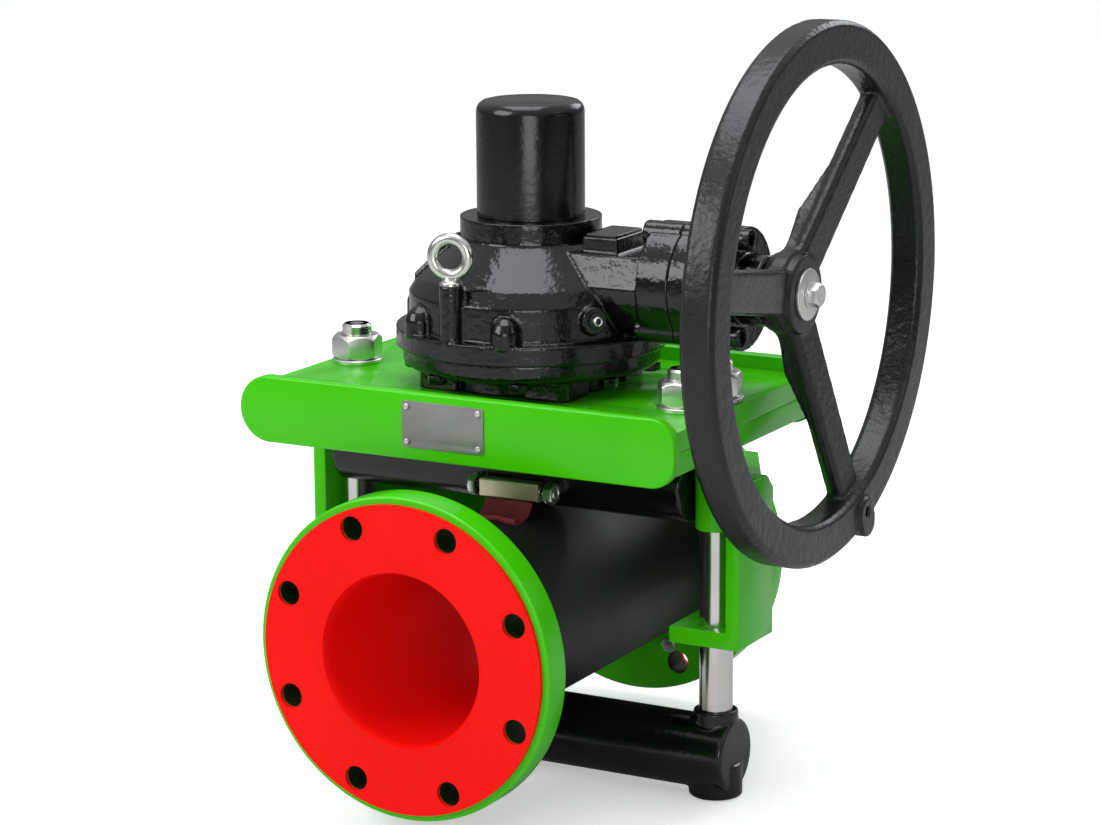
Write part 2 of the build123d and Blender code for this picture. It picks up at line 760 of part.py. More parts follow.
with BuildPart() as upper_bearing:
    with BuildSketch(Plane.XY.offset(drive_top - upper_bearing_h)):
        Circle(upper_way_r)
        Circle(nut_r + run_fit, mode=Mode.SUBTRACT)
    extrude(amount=upper_bearing_h)
save(upper_bearing.part, "upper_bearing")

with BuildPart() as drive_nut:
    with BuildSketch(Plane.XY.offset(seam_z + 1.0)):
        Circle(nut_r)
        Circle(stem_r + body_gap, mode=Mode.SUBTRACT)
    extrude(amount=drive_top - seam_z - 1.0)
save(drive_nut.part, "drive_nut")

# the bevel pair, drawn as its two pitch cones with the tooth gap between them
cone = 0.75
pitch_low = input_z - pinion_r
with BuildPart() as crown_gear:
    with BuildSketch(Plane.XZ):
        with BuildLine():
            Polyline(
                (nut_r, crown_low), (crown_r + 4, crown_low), (crown_r + 4, pitch_low - 2.8 * tooth_gap),
                (crown_r * cone, input_z - pinion_r * cone - tooth_gap),
                (crown_r * (cone - 0.05), input_z - pinion_r + 3.0),
                (nut_r, input_z - pinion_r + 3.0), close=True)
        make_face()
    revolve(axis=Axis.Z)
save(crown_gear.part, "crown_gear")

with BuildPart() as bevel_pinion:
    with BuildSketch(Plane.XY.offset(input_z)):
        with BuildLine():
            Polyline(
                (crown_r * cone, shaft_d / 2), (crown_r * cone, pinion_r * cone), (crown_r, pinion_r),
                (crown_r + 5, pinion_r - 1), (crown_r + 5, shaft_d / 2), close=True)
        make_face()
    revolve(axis=Axis((0, 0, input_z), (1, 0, 0)))
save(bevel_pinion.part, "bevel_pinion")

with BuildPart() as input_shaft:
    with BuildSketch(Plane.YZ.offset(crown_r * cone)):
        with Locations((0, input_z)):
            Circle(shaft_d / 2)
    extrude(amount=hub_x1 - crown_r * cone)
save(input_shaft.part, "input_shaft")

with BuildPart() as input_bearings:
    for x0 in (input_x0 + bearing_in, cover_x1 - 2 * bearing_in - bearing_l):
        with BuildSketch(Plane.YZ.offset(x0)):
            with Locations((0, input_z)):
                Circle(bearing_way_r)
                Circle(shaft_d / 2 + run_fit, mode=Mode.SUBTRACT)
        extrude(amount=bearing_l)
save(input_bearings.part, "input_bearings")

pin_d = 8.0
socket_wall = 9.0
pin_z = bar_z + bar_d / 2 + pin_d
with BuildPart() as stem:
    with BuildSketch(Plane.XY.offset(bar_z)):
        Circle(stem_r)
    extrude(amount=stem_top - bar_z)
    chamfer(stem.faces().sort_by(Axis.Z)[-1].edges(), length=2.0)
    with BuildSketch(Plane.XZ.offset(stem_r)):
        with Locations((0, pin_z)):
            Circle(pin_d / 2)
    extrude(amount=-2 * stem_r, mode=Mode.SUBTRACT)
save(stem.part, "stem")

# ---------------------------------------------------------------- upper bar
ear_y = -bar_d / 2 - 7.0
ear_z = bar_z - 12.5
ear_t = 5.0
ear_x0 = -34.0
ear_x1 = 36.0
pin_bore = 8.0
fork_wall = 10.0
upper_left = -rod_x - fork_wall
upper_right = rod_x - tube_d / 2 - 1.5
with BuildPart() as upper_pinch_bar:
    with BuildSketch(Plane.YZ.offset(upper_left)):
        with Locations((0, bar_z)):
            Circle(bar_d / 2)
    extrude(amount=upper_right - upper_left)
    rims = upper_pinch_bar.edges().filter_by(GeomType.CIRCLE)
    chamfer(rims, length=bar_chamfer)
    # socket for the stem
    with BuildSketch(Plane.XY.offset(bar_z)):
        Circle(stem_r + socket_wall)
    extrude(amount=bar_d / 2 + 2 * pin_d)
    # two ears for the strap's bolt
    for x0 in (ear_x0, ear_x1 - ear_t):
        with BuildSketch(Plane.YZ.offset(x0)):
            with BuildLine():
                Polyline(
                    (ear_y + 20, ear_z - 10), (ear_y, ear_z - 7), (ear_y - 7, ear_z), (ear_y, ear_z + 7),
                    (ear_y + 20, ear_z + 14), close=True)
            make_face()
        extrude(amount=ear_t)
    # the fork that rides the left guide rod
    with BuildSketch(Plane.XY.offset(bar_z - bar_d)):
        with Locations((-rod_x, 0)):
            Circle(rod_hole_d / 2)
        with Locations((-rod_x - rod_d / 2, 0)):
            Rectangle(rod_d, rod_hole_d)
    extrude(amount=2 * bar_d, mode=Mode.SUBTRACT)
    with BuildSketch(Plane.XY.offset(bar_z)):
        Circle(stem_r)
    extrude(amount=bar_d, mode=Mode.SUBTRACT)
    with BuildSketch(Plane.XZ.offset(bar_d)):
        with Locations((0, pin_z)):
            Circle(pin_d / 2)
    extrude(amount=-2 * bar_d, mode=Mode.SUBTRACT)
    with BuildSketch(Plane.YZ.offset(ear_x0)):
        with Locations((ear_y, ear_z)):
            Circle(pin_bore / 2)
    extrude(amount=ear_x1 - ear_x0, mode=Mode.SUBTRACT)
save(upper_pinch_bar.part, "upper_pinch_bar")

with BuildPart() as stem_pin:
    with BuildSketch(Plane.XZ.offset(stem_r + socket_wall + 2.0)):
        with Locations((0, pin_z)):
            Circle(pin_d / 2)
    extrude(amount=-2 * (stem_r + socket_wall + 2.0))
save(stem_pin.part, "stem_pin")

block_h = 17.0
with BuildPart() as clamp_block:
    with BuildSketch(Plane.YZ.offset(ear_x0 + ear_t + body_gap)):
        with Locations((ear_y - 1.0, ear_z)):
            RectangleRounded(12.0, block_h, 2.0)
        with Locations((ear_y, ear_z)):
            Circle(pin_bore / 2, mode=Mode.SUBTRACT)
    extrude(amount=ear_x1 - ear_x0 - 2 * ear_t - 2 * body_gap)
save(clamp_block.part, "clamp_block")

clamp_head = 7.0
with BuildPart() as clamp_bolt:
    with BuildSketch(Plane.YZ.offset(ear_x0 - clamp_head)):
        with Locations((ear_y, ear_z)):
            RegularPolygon(pin_bore * 0.82, 6, major_radius=False)
    extrude(amount=clamp_head)
    with BuildSketch(Plane.YZ.offset(ear_x0)):
        with Locations((ear_y, ear_z)):
            Circle(pin_bore / 2 - 2 * run_fit)
    extrude(amount=ear_x1 - ear_x0 + 2 * clamp_head)
save(clamp_bolt.part, "clamp_bolt")

with BuildPart() as clamp_nut:
    with BuildSketch(Plane.YZ.offset(ear_x1)):
        with Locations((ear_y, ear_z)):
            RegularPolygon(pin_bore * 0.94, 6, major_radius=False)
            Circle(pin_bore / 2, mode=Mode.SUBTRACT)
    extrude(amount=pin_bore)
save(clamp_nut.part, "clamp_nut")

strap_w = 50.0
strap_low = sleeve_r + cloth_gap + body_gap
strap_top = ear_z - block_h / 2
with BuildPart() as strap:
    with BuildSketch(Plane.YZ.offset(-strap_w / 2 + 1.0)):
        with BuildLine():
            Polyline(
                (ear_y - 4, strap_top), (ear_y + 2, strap_top), (ear_y - 8, strap_low + 2),
                (ear_y - 12, strap_low), (ear_y - 20, strap_low), (ear_y - 21, strap_low + 3.5),
                (ear_y - 14, strap_low + 4.5), close=True)
        make_face()
    extrude(amount=strap_w)
save(strap.part, "strap")

# ---------------------------------------------------------------- handwheel
spoke_angles = [spoke_a - 360 / spokes * i for i in range(spokes)]


def spoke_outline(x_front, width):
    """Corners of a spoke: flat front, eased edges and a narrower rib behind."""
    w = width / 2
    return [
        (x_front, -w + 3), (x_front - 3, -w), (x_front - 9, -w), (x_front - spoke_t, -w * 0.45),
        (x_front - spoke_t, w * 0.45), (x_front - 9, w), (x_front - 3, w), (x_front, w - 3)]


wheel_axis = Axis((0, 0, input_z), (1, 0, 0))
with BuildPart() as handwheel:
    with BuildSketch(Plane.XY.offset(input_z)):
        with BuildLine():
            Polyline(
                (rim_x0 + rim_edge, rim_in), (rim_x1 - rim_edge, rim_in), (rim_x1, rim_in + rim_edge),
                (rim_x1, wheel_r - rim_edge), (rim_x1 - rim_edge, wheel_r), (rim_x0 + rim_edge, wheel_r),
                (rim_x0, wheel_r - rim_edge), (rim_x0, rim_in + rim_edge), close=True)
        make_face()
    revolve(axis=wheel_axis)
    with BuildSketch(Plane.YZ.offset(hub_x0)):
        with Locations((0, input_z)):
            Circle(hub_r)
    extrude(amount=hub_l)
    # the star that fairs the spokes into the hub
    with BuildSketch(Plane.YZ.offset(hub_x0 + web_in)):
        with Locations((0, input_z)):
            Circle(hub_r + 2.0)
            for a in spoke_angles:
                with Locations(Location((0, 0), a)):
                    Rectangle(spoke_w - 6.0, 2.2 * hub_r, align=(Align.CENTER, Align.MIN))
        inner = vertices().filter_by(lambda v: math.hypot(v.X, v.Y - input_z) < hub_r + 12.0)
        fillet(inner, radius=web_r)
    extrude(amount=hub_l - web_in - web_out)
    for a in spoke_angles:
        root = Plane(origin=(0, 0, input_z), x_dir=(1, 0, 0), z_dir=Vector(0, 0, 1).rotate(Axis.X, a))
        with BuildSketch(root.offset(hub_r * 0.6)):
            with BuildLine():
                Polyline(*spoke_outline(hub_x1 - 5.0, spoke_w), close=True)
            make_face()
        with BuildSketch(root.offset(rim_in + 4.0)):
            with BuildLine():
                Polyline(*spoke_outline(rim_x1 - 9.0, spoke_w - 4.0), close=True)
            make_face()
        loft()
    # the lug for the crank handle
    lug = Plane(
        origin=(0, 0, input_z), x_dir=Vector(0, 1, 0).rotate(Axis.X, crank_a), z_dir=(1, 0, 0))
    with BuildSketch(lug.offset(rim_x1 - 12.0)):
        with Locations((0, crank_in - wheel_r - 6.0)):
            RectangleRounded(crank_w, crank_l, crank_w / 2 - 1.0)
    extrude(amount=12.0 + crank_out)
    with BuildSketch(lug.offset(rim_x1 + crank_out)):
        with Locations((0, crank_in - wheel_r)):
            Circle(crank_hole_d / 2)
    extrude(amount=-16.0, mode=Mode.SUBTRACT)
    with BuildSketch(Plane.YZ.offset(hub_x0)):
        with Locations((0, input_z)):
            Circle(shaft_d / 2)
    extrude(amount=hub_l + 5, mode=Mode.SUBTRACT)
save(handwheel.part, "handwheel")

with BuildPart() as wheel_washer:
    with BuildSketch(Plane.YZ.offset(hub_x1)):
        with Locations((0, input_z)):
            Circle(wheel_washer_d / 2)
    extrude(amount=wheel_washer_t)
save(wheel_washer.part, "wheel_washer")

with BuildPart() as wheel_bolt:
    with BuildSketch(Plane.YZ.offset(hub_x1 + wheel_washer_t)):
        with Locations((0, input_z)):
            RegularPolygon(wheel_screw_af / 2, 6, major_radius=False)
    extrude(amount=wheel_screw_h)
    chamfer(wheel_bolt.faces().sort_by(Axis.X)[-1].edges(), length=1.2)
save(wheel_bolt.part, "wheel_bolt")
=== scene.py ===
"""Looks of the pinch valve: gloss paints, castings, rubber and bright steel."""
import json
import math

import bpy
from mathutils import Matrix, Vector


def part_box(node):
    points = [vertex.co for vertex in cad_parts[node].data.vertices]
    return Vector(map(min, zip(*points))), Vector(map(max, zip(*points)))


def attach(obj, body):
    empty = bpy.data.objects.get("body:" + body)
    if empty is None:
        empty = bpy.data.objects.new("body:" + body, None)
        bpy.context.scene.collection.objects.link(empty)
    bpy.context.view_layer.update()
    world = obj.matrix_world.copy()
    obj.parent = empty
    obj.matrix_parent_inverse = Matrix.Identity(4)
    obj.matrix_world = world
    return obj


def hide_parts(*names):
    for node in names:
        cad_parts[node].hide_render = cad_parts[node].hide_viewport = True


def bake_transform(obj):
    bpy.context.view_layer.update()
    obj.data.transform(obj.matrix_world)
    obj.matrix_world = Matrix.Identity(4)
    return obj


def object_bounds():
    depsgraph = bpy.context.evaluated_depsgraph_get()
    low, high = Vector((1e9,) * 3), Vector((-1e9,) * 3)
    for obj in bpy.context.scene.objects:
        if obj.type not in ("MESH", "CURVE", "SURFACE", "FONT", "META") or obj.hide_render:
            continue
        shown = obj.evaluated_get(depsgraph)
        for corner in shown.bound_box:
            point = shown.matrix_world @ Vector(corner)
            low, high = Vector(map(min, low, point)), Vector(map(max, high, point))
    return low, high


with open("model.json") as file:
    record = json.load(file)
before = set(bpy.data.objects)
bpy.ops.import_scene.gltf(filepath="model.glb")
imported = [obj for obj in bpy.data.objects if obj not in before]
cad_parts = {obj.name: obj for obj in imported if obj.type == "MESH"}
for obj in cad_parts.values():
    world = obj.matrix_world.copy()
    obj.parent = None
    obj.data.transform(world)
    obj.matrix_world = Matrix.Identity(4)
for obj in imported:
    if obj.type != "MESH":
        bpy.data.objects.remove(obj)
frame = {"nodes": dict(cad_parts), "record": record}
nodes = frame["nodes"]
cad_low, cad_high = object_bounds()

# metres, in the model's own frame: the bore's centre, +Y along the pipe, +X to the wheel, +Z up
HALF_LENGTH = 0.235     # bore centre to a flange's sealing face
FACE_RING = 0.004       # thickness of the rubber ring on each flange
SLEEVE_R = 0.088        # outside of the black sleeve
LINER_R = 0.080         # outside of the red liner
BORE_R = 0.075
SKIN_GAP = 0.0001       # between liner and sleeve
MOUTH_FLARE = 0.0025    # how far the liner's lip opens at each end
ROD_X = 0.184           # guide rods, either side of the bore
UP = (0, 0, 1)
TO_WHEEL = (1, 0, 0)
FROM_WHEEL = (-1, 0, 0)


# ------------------------------------------------------------------ bench tools
TOUCHING = 1e-6     # points nearer than this are one point


def clear_selection():
    if bpy.context.object and bpy.context.object.mode != "OBJECT":
        bpy.ops.object.mode_set(mode="OBJECT")
    bpy.ops.object.select_all(action="DESELECT")


def edit_all():
    """Edit mode with every vertex selected, whatever the last piece was edited by."""
    bpy.ops.object.mode_set(mode="EDIT")
    bpy.ops.mesh.select_mode(type="VERT")
    bpy.ops.mesh.select_all(action="SELECT")


def leave_edit():
    bpy.ops.object.mode_set(mode="OBJECT")


def only(piece):
    clear_selection()
    piece.select_set(True)
    bpy.context.view_layer.objects.active = piece


def settle(piece):
    """Puts the piece's place, turn and scale into its mesh."""
    only(piece)
    bpy.ops.object.transform_apply(location=True, rotation=True, scale=True)


def stand(piece, axis, place):
    """Turns a piece made along +Z onto an axis and sets it down at a place."""
    piece.rotation_mode = "QUATERNION"
    piece.rotation_quaternion = Vector(axis).to_track_quat("Z", "Y")
    piece.location = place
    settle(piece)


def joined(piece, *others):
    """One piece from several."""
    only(piece)
    for other in others:
        other.select_set(True)
    bpy.ops.object.join()
    return bpy.context.object


def apply_all(piece):
    """Applies the piece's modifiers, in order."""
    only(piece)
    for mod in list(piece.modifiers):
        bpy.ops.object.modifier_apply(modifier=mod.name)


def smooth(piece, degrees):
    only(piece)
    bpy.ops.object.shade_smooth_by_angle(angle=math.radians(degrees))


def outward(piece):
    """Merges doubled points, then turns every face outwards."""
    only(piece)
    edit_all()
    bpy.ops.mesh.remove_doubles(threshold=TOUCHING)
    bpy.ops.mesh.normals_make_consistent(inside=False)
    leave_edit()


def soft_edges(piece, width, degrees=35.0, segments=3):
    bevel = piece.modifiers.new("soft_edges", "BEVEL")
    bevel.width = width
    bevel.segments = segments
    bevel.limit_method = "ANGLE"
    bevel.angle_limit = math.radians(degrees)
    apply_all(piece)


def cut(piece, tool, how="DIFFERENCE"):
    """Cuts a piece by a tool, which is used up."""
    bool_mod = piece.modifiers.new("cut", "BOOLEAN")
    bool_mod.operation = how
    bool_mod.solver = "EXACT"
    bool_mod.object = tool
    apply_all(piece)
    bpy.data.objects.remove(tool, do_unlink=True)


def finish_piece(piece, name, material, body):
    """Name, finish and slot of a piece, and its body when one is given."""
    settle(piece)
    piece.name = name
    piece.data.materials.clear()
    piece.data.materials.append(material)
    if body:
        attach(piece, body)


def start_point(place):
    """A piece of one vertex at a place, left in edit mode to be extruded."""
    clear_selection()
    bpy.ops.mesh.primitive_plane_add(size=1.0)
    piece = bpy.context.object
    edit_all()
    bpy.ops.mesh.merge(type="CENTER")
    bpy.ops.transform.translate(value=place)
    return piece


def turned(name, profile, axis, place, steps):
    """A lathe piece: radius and height pairs spun about an axis through a place."""
    piece = start_point((profile[0][0], 0.0, profile[0][1]))
    piece.name = name
    for (r0, z0), (r1, z1) in zip(profile, profile[1:]):
        bpy.ops.mesh.extrude_vertices_move(
            TRANSFORM_OT_translate={"value": (r1 - r0, 0.0, z1 - z0)})
    bpy.ops.mesh.select_all(action="SELECT")
    bpy.ops.mesh.spin(steps=steps, angle=2 * math.pi, center=(0, 0, 0), axis=UP)
    leave_edit()
    outward(piece)
    stand(piece, axis, place)
    return piece


def merged_copy(node, name):
    """A copy of a CAD node, its loose triangles joined."""
    clear_selection()
    piece = bpy.data.objects.new(name, nodes[node].data.copy())
    bpy.context.collection.objects.link(piece)
    only(piece)
    if piece.data.has_custom_normals:
        bpy.ops.mesh.customdata_custom_splitnormals_clear()
    edit_all()
    bpy.ops.mesh.remove_doubles(threshold=2 * TOUCHING)
    leave_edit()
    return piece


FLAT_ENOUGH = 0.6       # degrees between two faces that are one flat
ARRIS_ANGLE = 32.0      # degrees from which an edge counts as sharp


def eased(node, name, width, material, body):
    """The CAD form with its sharp arrises softened, as filed and painted steel."""
    piece = merged_copy(node, name)
    edit_all()
    bpy.ops.mesh.dissolve_limited(angle_limit=math.radians(FLAT_ENOUGH))
    leave_edit()
    soft_edges(piece, width, ARRIS_ANGLE)
    smooth(piece, 30.0)
    finish_piece(piece, name, material, body)
    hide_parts(node)


def remould(piece, voxel, passes):
    """Rounds a form's corners: one skin of even cells, then relaxed."""
    only(piece)
    piece.data.remesh_voxel_size = voxel
    piece.data.remesh_voxel_adaptivity = 0.0
    bpy.ops.object.voxel_remesh()
    soften = piece.modifiers.new("soften", "SMOOTH")
    soften.factor = 0.5
    soften.iterations = passes
    apply_all(piece)
    bpy.ops.object.shade_smooth()


def cast_skin(node, name, voxel, passes, material, body, added=()):
    """The CAD form with filleted corners, as sand and paint leave a casting."""
    piece = merged_copy(node, name)
    if added:
        piece = joined(piece, *added)
    remould(piece, voxel, passes)
    finish_piece(piece, name, material, body)
    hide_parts(node)


# ------------------------------------------------------------------ finishes
def socket(group, name, kind, out=False, default=None):
    """A named input or output of a shader group."""
    item = group.interface.new_socket(
        name=name, in_out="OUTPUT" if out else "INPUT", socket_type=kind)
    if default is not None:
        item.default_value = default


def make_grain_group():
    """Drawn or ground metal: fine lines one way and a soft mottle."""
    g = bpy.data.node_groups.new("metal_grain", "ShaderNodeTree")
    socket(g, "Stretch", "NodeSocketVector", default=(1.0, 1.0, 1.0))
    socket(g, "Fine", "NodeSocketFloat", default=400.0)
    socket(g, "Broad", "NodeSocketFloat", default=18.0)
    socket(g, "Lines", "NodeSocketFloat", out=True)
    socket(g, "Mottle", "NodeSocketFloat", out=True)
    gin = g.nodes.new("NodeGroupInput")
    gout = g.nodes.new("NodeGroupOutput")
    coord = g.nodes.new("ShaderNodeTexCoord")
    stretch = g.nodes.new("ShaderNodeVectorMath")
    stretch.operation = "MULTIPLY"
    fine = g.nodes.new("ShaderNodeTexNoise")
    fine.inputs["Detail"].default_value = 3.0
    broad = g.nodes.new("ShaderNodeTexNoise")
    broad.inputs["Detail"].default_value = 4.0
    g.links.new(coord.outputs["Object"], stretch.inputs[0])
    g.links.new(gin.outputs["Stretch"], stretch.inputs[1])
    g.links.new(stretch.outputs[0], fine.inputs["Vector"])
    g.links.new(gin.outputs["Fine"], fine.inputs["Scale"])
    g.links.new(coord.outputs["Object"], broad.inputs["Vector"])
    g.links.new(gin.outputs["Broad"], broad.inputs["Scale"])
    g.links.new(fine.outputs["Fac"], gout.inputs["Lines"])
    g.links.new(broad.outputs["Fac"], gout.inputs["Mottle"])
    return g


def make_skin_group():
    """Paint or rubber skin: orange peel over casting lumps, and a broad mottle."""
    g = bpy.data.node_groups.new("paint_skin", "ShaderNodeTree")
    socket(g, "Peel", "NodeSocketFloat", default=220.0)
    socket(g, "Lumps", "NodeSocketFloat", default=40.0)
    socket(g, "Lump Share", "NodeSocketFloat", default=0.5)
    socket(g, "Height", "NodeSocketFloat", out=True)
    socket(g, "Mottle", "NodeSocketFloat", out=True)
    gin = g.nodes.new("NodeGroupInput")
    gout = g.nodes.new("NodeGroupOutput")
    coord = g.nodes.new("ShaderNodeTexCoord")
    peel = g.nodes.new("ShaderNodeTexNoise")
    peel.inputs["Detail"].default_value = 2.0
    lumps = g.nodes.new("ShaderNodeTexNoise")
    lumps.inputs["Detail"].default_value = 5.0
    lumps.inputs["Roughness"].default_value = 0.55
    mottle = g.nodes.new("ShaderNodeTexNoise")
    mottle.inputs["Scale"].default_value = 9.0
    mottle.inputs["Detail"].default_value = 6.0
    mix = g.nodes.new("ShaderNodeMix")
    for n in (peel, lumps, mottle):
        g.links.new(coord.outputs["Object"], n.inputs["Vector"])
    g.links.new(gin.outputs["Peel"], peel.inputs["Scale"])
    g.links.new(gin.outputs["Lumps"], lumps.inputs["Scale"])
    g.links.new(gin.outputs["Lump Share"], mix.inputs["Factor"])
    g.links.new(peel.outputs["Fac"], mix.inputs["A"])
    g.links.new(lumps.outputs["Fac"], mix.inputs["B"])
    g.links.new(mix.outputs["Result"], gout.inputs["Height"])
    g.links.new(mottle.outputs["Fac"], gout.inputs["Mottle"])
    return g


def make_wear_and_sheen_group():
    """Rubbed arrises, with a painted highlight on them: where the surface is most convex, in patches,
    times an amount.
    """
    g = bpy.data.node_groups.new("edge_wear_and_sheen", "ShaderNodeTree")
    socket(g, "Amount", "NodeSocketFloat", default=0.5)
    socket(g, "Patches", "NodeSocketFloat", default=60.0)
    socket(g, "Wear and Sheen", "NodeSocketFloat", out=True)
    gin = g.nodes.new("NodeGroupInput")
    gout = g.nodes.new("NodeGroupOutput")
    geo = g.nodes.new("ShaderNodeNewGeometry")
    ridge = g.nodes.new("ShaderNodeMapRange")
    ridge.inputs["From Min"].default_value = 0.52
    ridge.inputs["From Max"].default_value = 0.62
    coord = g.nodes.new("ShaderNodeTexCoord")
    noise = g.nodes.new("ShaderNodeTexNoise")
    noise.inputs["Detail"].default_value = 5.0
    noise.inputs["Roughness"].default_value = 0.7
    gate = g.nodes.new("ShaderNodeMapRange")
    gate.inputs["From Min"].default_value = 0.45
    gate.inputs["From Max"].default_value = 0.7
    patched = g.nodes.new("ShaderNodeMath")
    patched.operation = "MULTIPLY"
    scaled = g.nodes.new("ShaderNodeMath")
    scaled.operation = "MULTIPLY"
    g.links.new(geo.outputs["Pointiness"], ridge.inputs["Value"])
    g.links.new(coord.outputs["Object"], noise.inputs["Vector"])
    g.links.new(gin.outputs["Patches"], noise.inputs["Scale"])
    g.links.new(noise.outputs["Fac"], gate.inputs["Value"])
    g.links.new(ridge.outputs["Result"], patched.inputs[0])
    g.links.new(gate.outputs["Result"], patched.inputs[1])
    g.links.new(patched.outputs[0], scaled.inputs[0])
    g.links.new(gin.outputs["Amount"], scaled.inputs[1])
    g.links.new(scaled.outputs[0], gout.inputs["Wear and Sheen"])
    return g


GRAIN = make_grain_group()
SKIN = make_skin_group()
WEAR_AND_SHEEN = make_wear_and_sheen_group()


def new_finish(name):
    mat = bpy.data.materials.new(name)
    mat.use_nodes = True
    return mat, mat.node_tree, mat.node_tree.nodes["Principled BSDF"]


NOISE_LOW, NOISE_HIGH = 0.3, 0.7    # most of a noise lies between these


def tone(tree, fac, dark, light):
    """A mask made a colour."""
    ramp = tree.nodes.new("ShaderNodeValToRGB")
    ramp.color_ramp.elements[0].position = NOISE_LOW
    ramp.color_ramp.elements[1].position = NOISE_HIGH
    ramp.color_ramp.elements[0].color = (*dark, 1.0)
    ramp.color_ramp.elements[1].color = (*light, 1.0)
    tree.links.new(fac, ramp.inputs["Fac"])
    return ramp.outputs["Color"]


def spread(tree, fac, low, high):
    """A mask made a value between low and high."""
    span = tree.nodes.new("ShaderNodeMapRange")
    span.inputs["From Min"].default_value = NOISE_LOW
    span.inputs["From Max"].default_value = NOISE_HIGH
    span.inputs["To Min"].default_value = low
    span.inputs["To Max"].default_value = high
    tree.links.new(fac, span.inputs["Value"])
    return span.outputs["Result"]


def relief(tree, bsdf, height, strength, depth):
    """A height made fine relief on the surface."""
    node = tree.nodes.new("ShaderNodeBump")
    node.inputs["Strength"].default_value = strength
    node.inputs["Distance"].default_value = depth
    tree.links.new(height, node.inputs["Height"])
    tree.links.new(node.outputs["Normal"], bsdf.inputs["Normal"])


def place_skin(tree, peel, lumps, share):
    """The paint_skin group in a material, with this material's own values."""
    skin = tree.nodes.new("ShaderNodeGroup")
    skin.node_tree = SKIN
    skin.inputs["Peel"].default_value = peel
    skin.inputs["Lumps"].default_value = lumps
    skin.inputs["Lump Share"].default_value = share
    return skin


def painted(name, dark, light, edge, rough, peel, lumps, share, strength, depth, gloss, wear_and_sheen):
    """Paint over steel or a casting; edge is its colour on the convex arrises, partly where it is
    rubbed and partly a painted highlight.
    """
    mat, tree, bsdf = new_finish(name)
    skin = place_skin(tree, peel, lumps, share)
    rub_and_sheen = tree.nodes.new("ShaderNodeGroup")
    rub_and_sheen.node_tree = WEAR_AND_SHEEN
    rub_and_sheen.inputs["Amount"].default_value = wear_and_sheen
    base = tone(tree, skin.outputs["Mottle"], dark, light)
    mix = tree.nodes.new("ShaderNodeMix")
    mix.data_type = "RGBA"
    mix.inputs["B"].default_value = (*edge, 1.0)
    tree.links.new(rub_and_sheen.outputs["Wear and Sheen"], mix.inputs["Factor"])
    tree.links.new(base, mix.inputs["A"])
    tree.links.new(mix.outputs["Result"], bsdf.inputs["Base Color"])
    tree.links.new(spread(tree, skin.outputs["Mottle"], *rough), bsdf.inputs["Roughness"])
    relief(tree, bsdf, skin.outputs["Height"], strength, depth)
    bsdf.inputs["Specular IOR Level"].default_value = gloss
    return mat


def bright_metal(name, dark, light, rough, stretch, fine, strength, depth):
    """Bare or plated metal; stretch draws its fine lines out along an axis."""
    mat, tree, bsdf = new_finish(name)
    grain = tree.nodes.new("ShaderNodeGroup")
    grain.node_tree = GRAIN
    grain.inputs["Stretch"].default_value = stretch
    grain.inputs["Fine"].default_value = fine
    tree.links.new(tone(tree, grain.outputs["Mottle"], dark, light), bsdf.inputs["Base Color"])
    tree.links.new(spread(tree, grain.outputs["Lines"], *rough), bsdf.inputs["Roughness"])
    relief(tree, bsdf, grain.outputs["Lines"], strength, depth)
    bsdf.inputs["Metallic"].default_value = 1.0
    return mat


def rubber(name, dark, light, rough, peel, strength, depth, gloss):
    """Moulded rubber or rubbered cloth."""
    mat, tree, bsdf = new_finish(name)
    skin = place_skin(tree, peel, 60.0, 0.35)
    tree.links.new(tone(tree, skin.outputs["Mottle"], dark, light), bsdf.inputs["Base Color"])
    tree.links.new(spread(tree, skin.outputs["Mottle"], *rough), bsdf.inputs["Roughness"])
    relief(tree, bsdf, skin.outputs["Height"], strength, depth)
    bsdf.inputs["Specular IOR Level"].default_value = gloss
    return mat


# its edge colour, a lighter green on the arrises, is a painted highlight
lime_paint = painted(
    "lime_gloss_paint", dark=(0.050, 0.50, 0.0015), light=(0.062, 0.57, 0.002), edge=(0.16, 0.72, 0.03),
    rough=(0.16, 0.26), peel=240.0, lumps=45.0, share=0.35, strength=0.06, depth=0.0006,
    gloss=0.26, wear_and_sheen=0.35)
# near-black green for the walls of the flange's bolt holes: painted shade in the hollows, not a thinner
# coat
hole_shade_paint = painted(
    "painted_hole_shade", dark=(0.004, 0.016, 0.002), light=(0.008, 0.030, 0.003), edge=(0.05, 0.05, 0.04),
    rough=(0.55, 0.7), peel=240.0, lumps=60.0, share=0.5, strength=0.2, depth=0.0006,
    gloss=0.2, wear_and_sheen=0.3)
cast_black = painted(
    "black_cast_gloss", dark=(0.0016, 0.0016, 0.0019), light=(0.0038, 0.0038, 0.0042),
    edge=(0.03, 0.03, 0.033), rough=(0.09, 0.20), peel=150.0, lumps=70.0, share=0.5, strength=0.45,
    depth=0.0022, gloss=0.5, wear_and_sheen=0.5)
bar_black = painted(
    "black_bar_gloss", dark=(0.002, 0.002, 0.0024), light=(0.0045, 0.0045, 0.005),
    edge=(0.02, 0.02, 0.022), rough=(0.14, 0.26), peel=190.0, lumps=55.0, share=0.55, strength=0.30,
    depth=0.0016, gloss=0.48, wear_and_sheen=0.4)
wheel_black = painted(
    "wheel_satin_black", dark=(0.0055, 0.0055, 0.006), light=(0.010, 0.010, 0.0105),
    edge=(0.04, 0.04, 0.042), rough=(0.24, 0.38), peel=170.0, lumps=85.0, share=0.55, strength=0.50,
    depth=0.0018, gloss=0.42, wear_and_sheen=0.6)
red_rubber = rubber(
    "red_sealing_rubber", dark=(0.88, 0.004, 0.003), light=(0.95, 0.006, 0.004), rough=(0.42, 0.52),
    peel=300.0, strength=0.05, depth=0.0005, gloss=0.12)
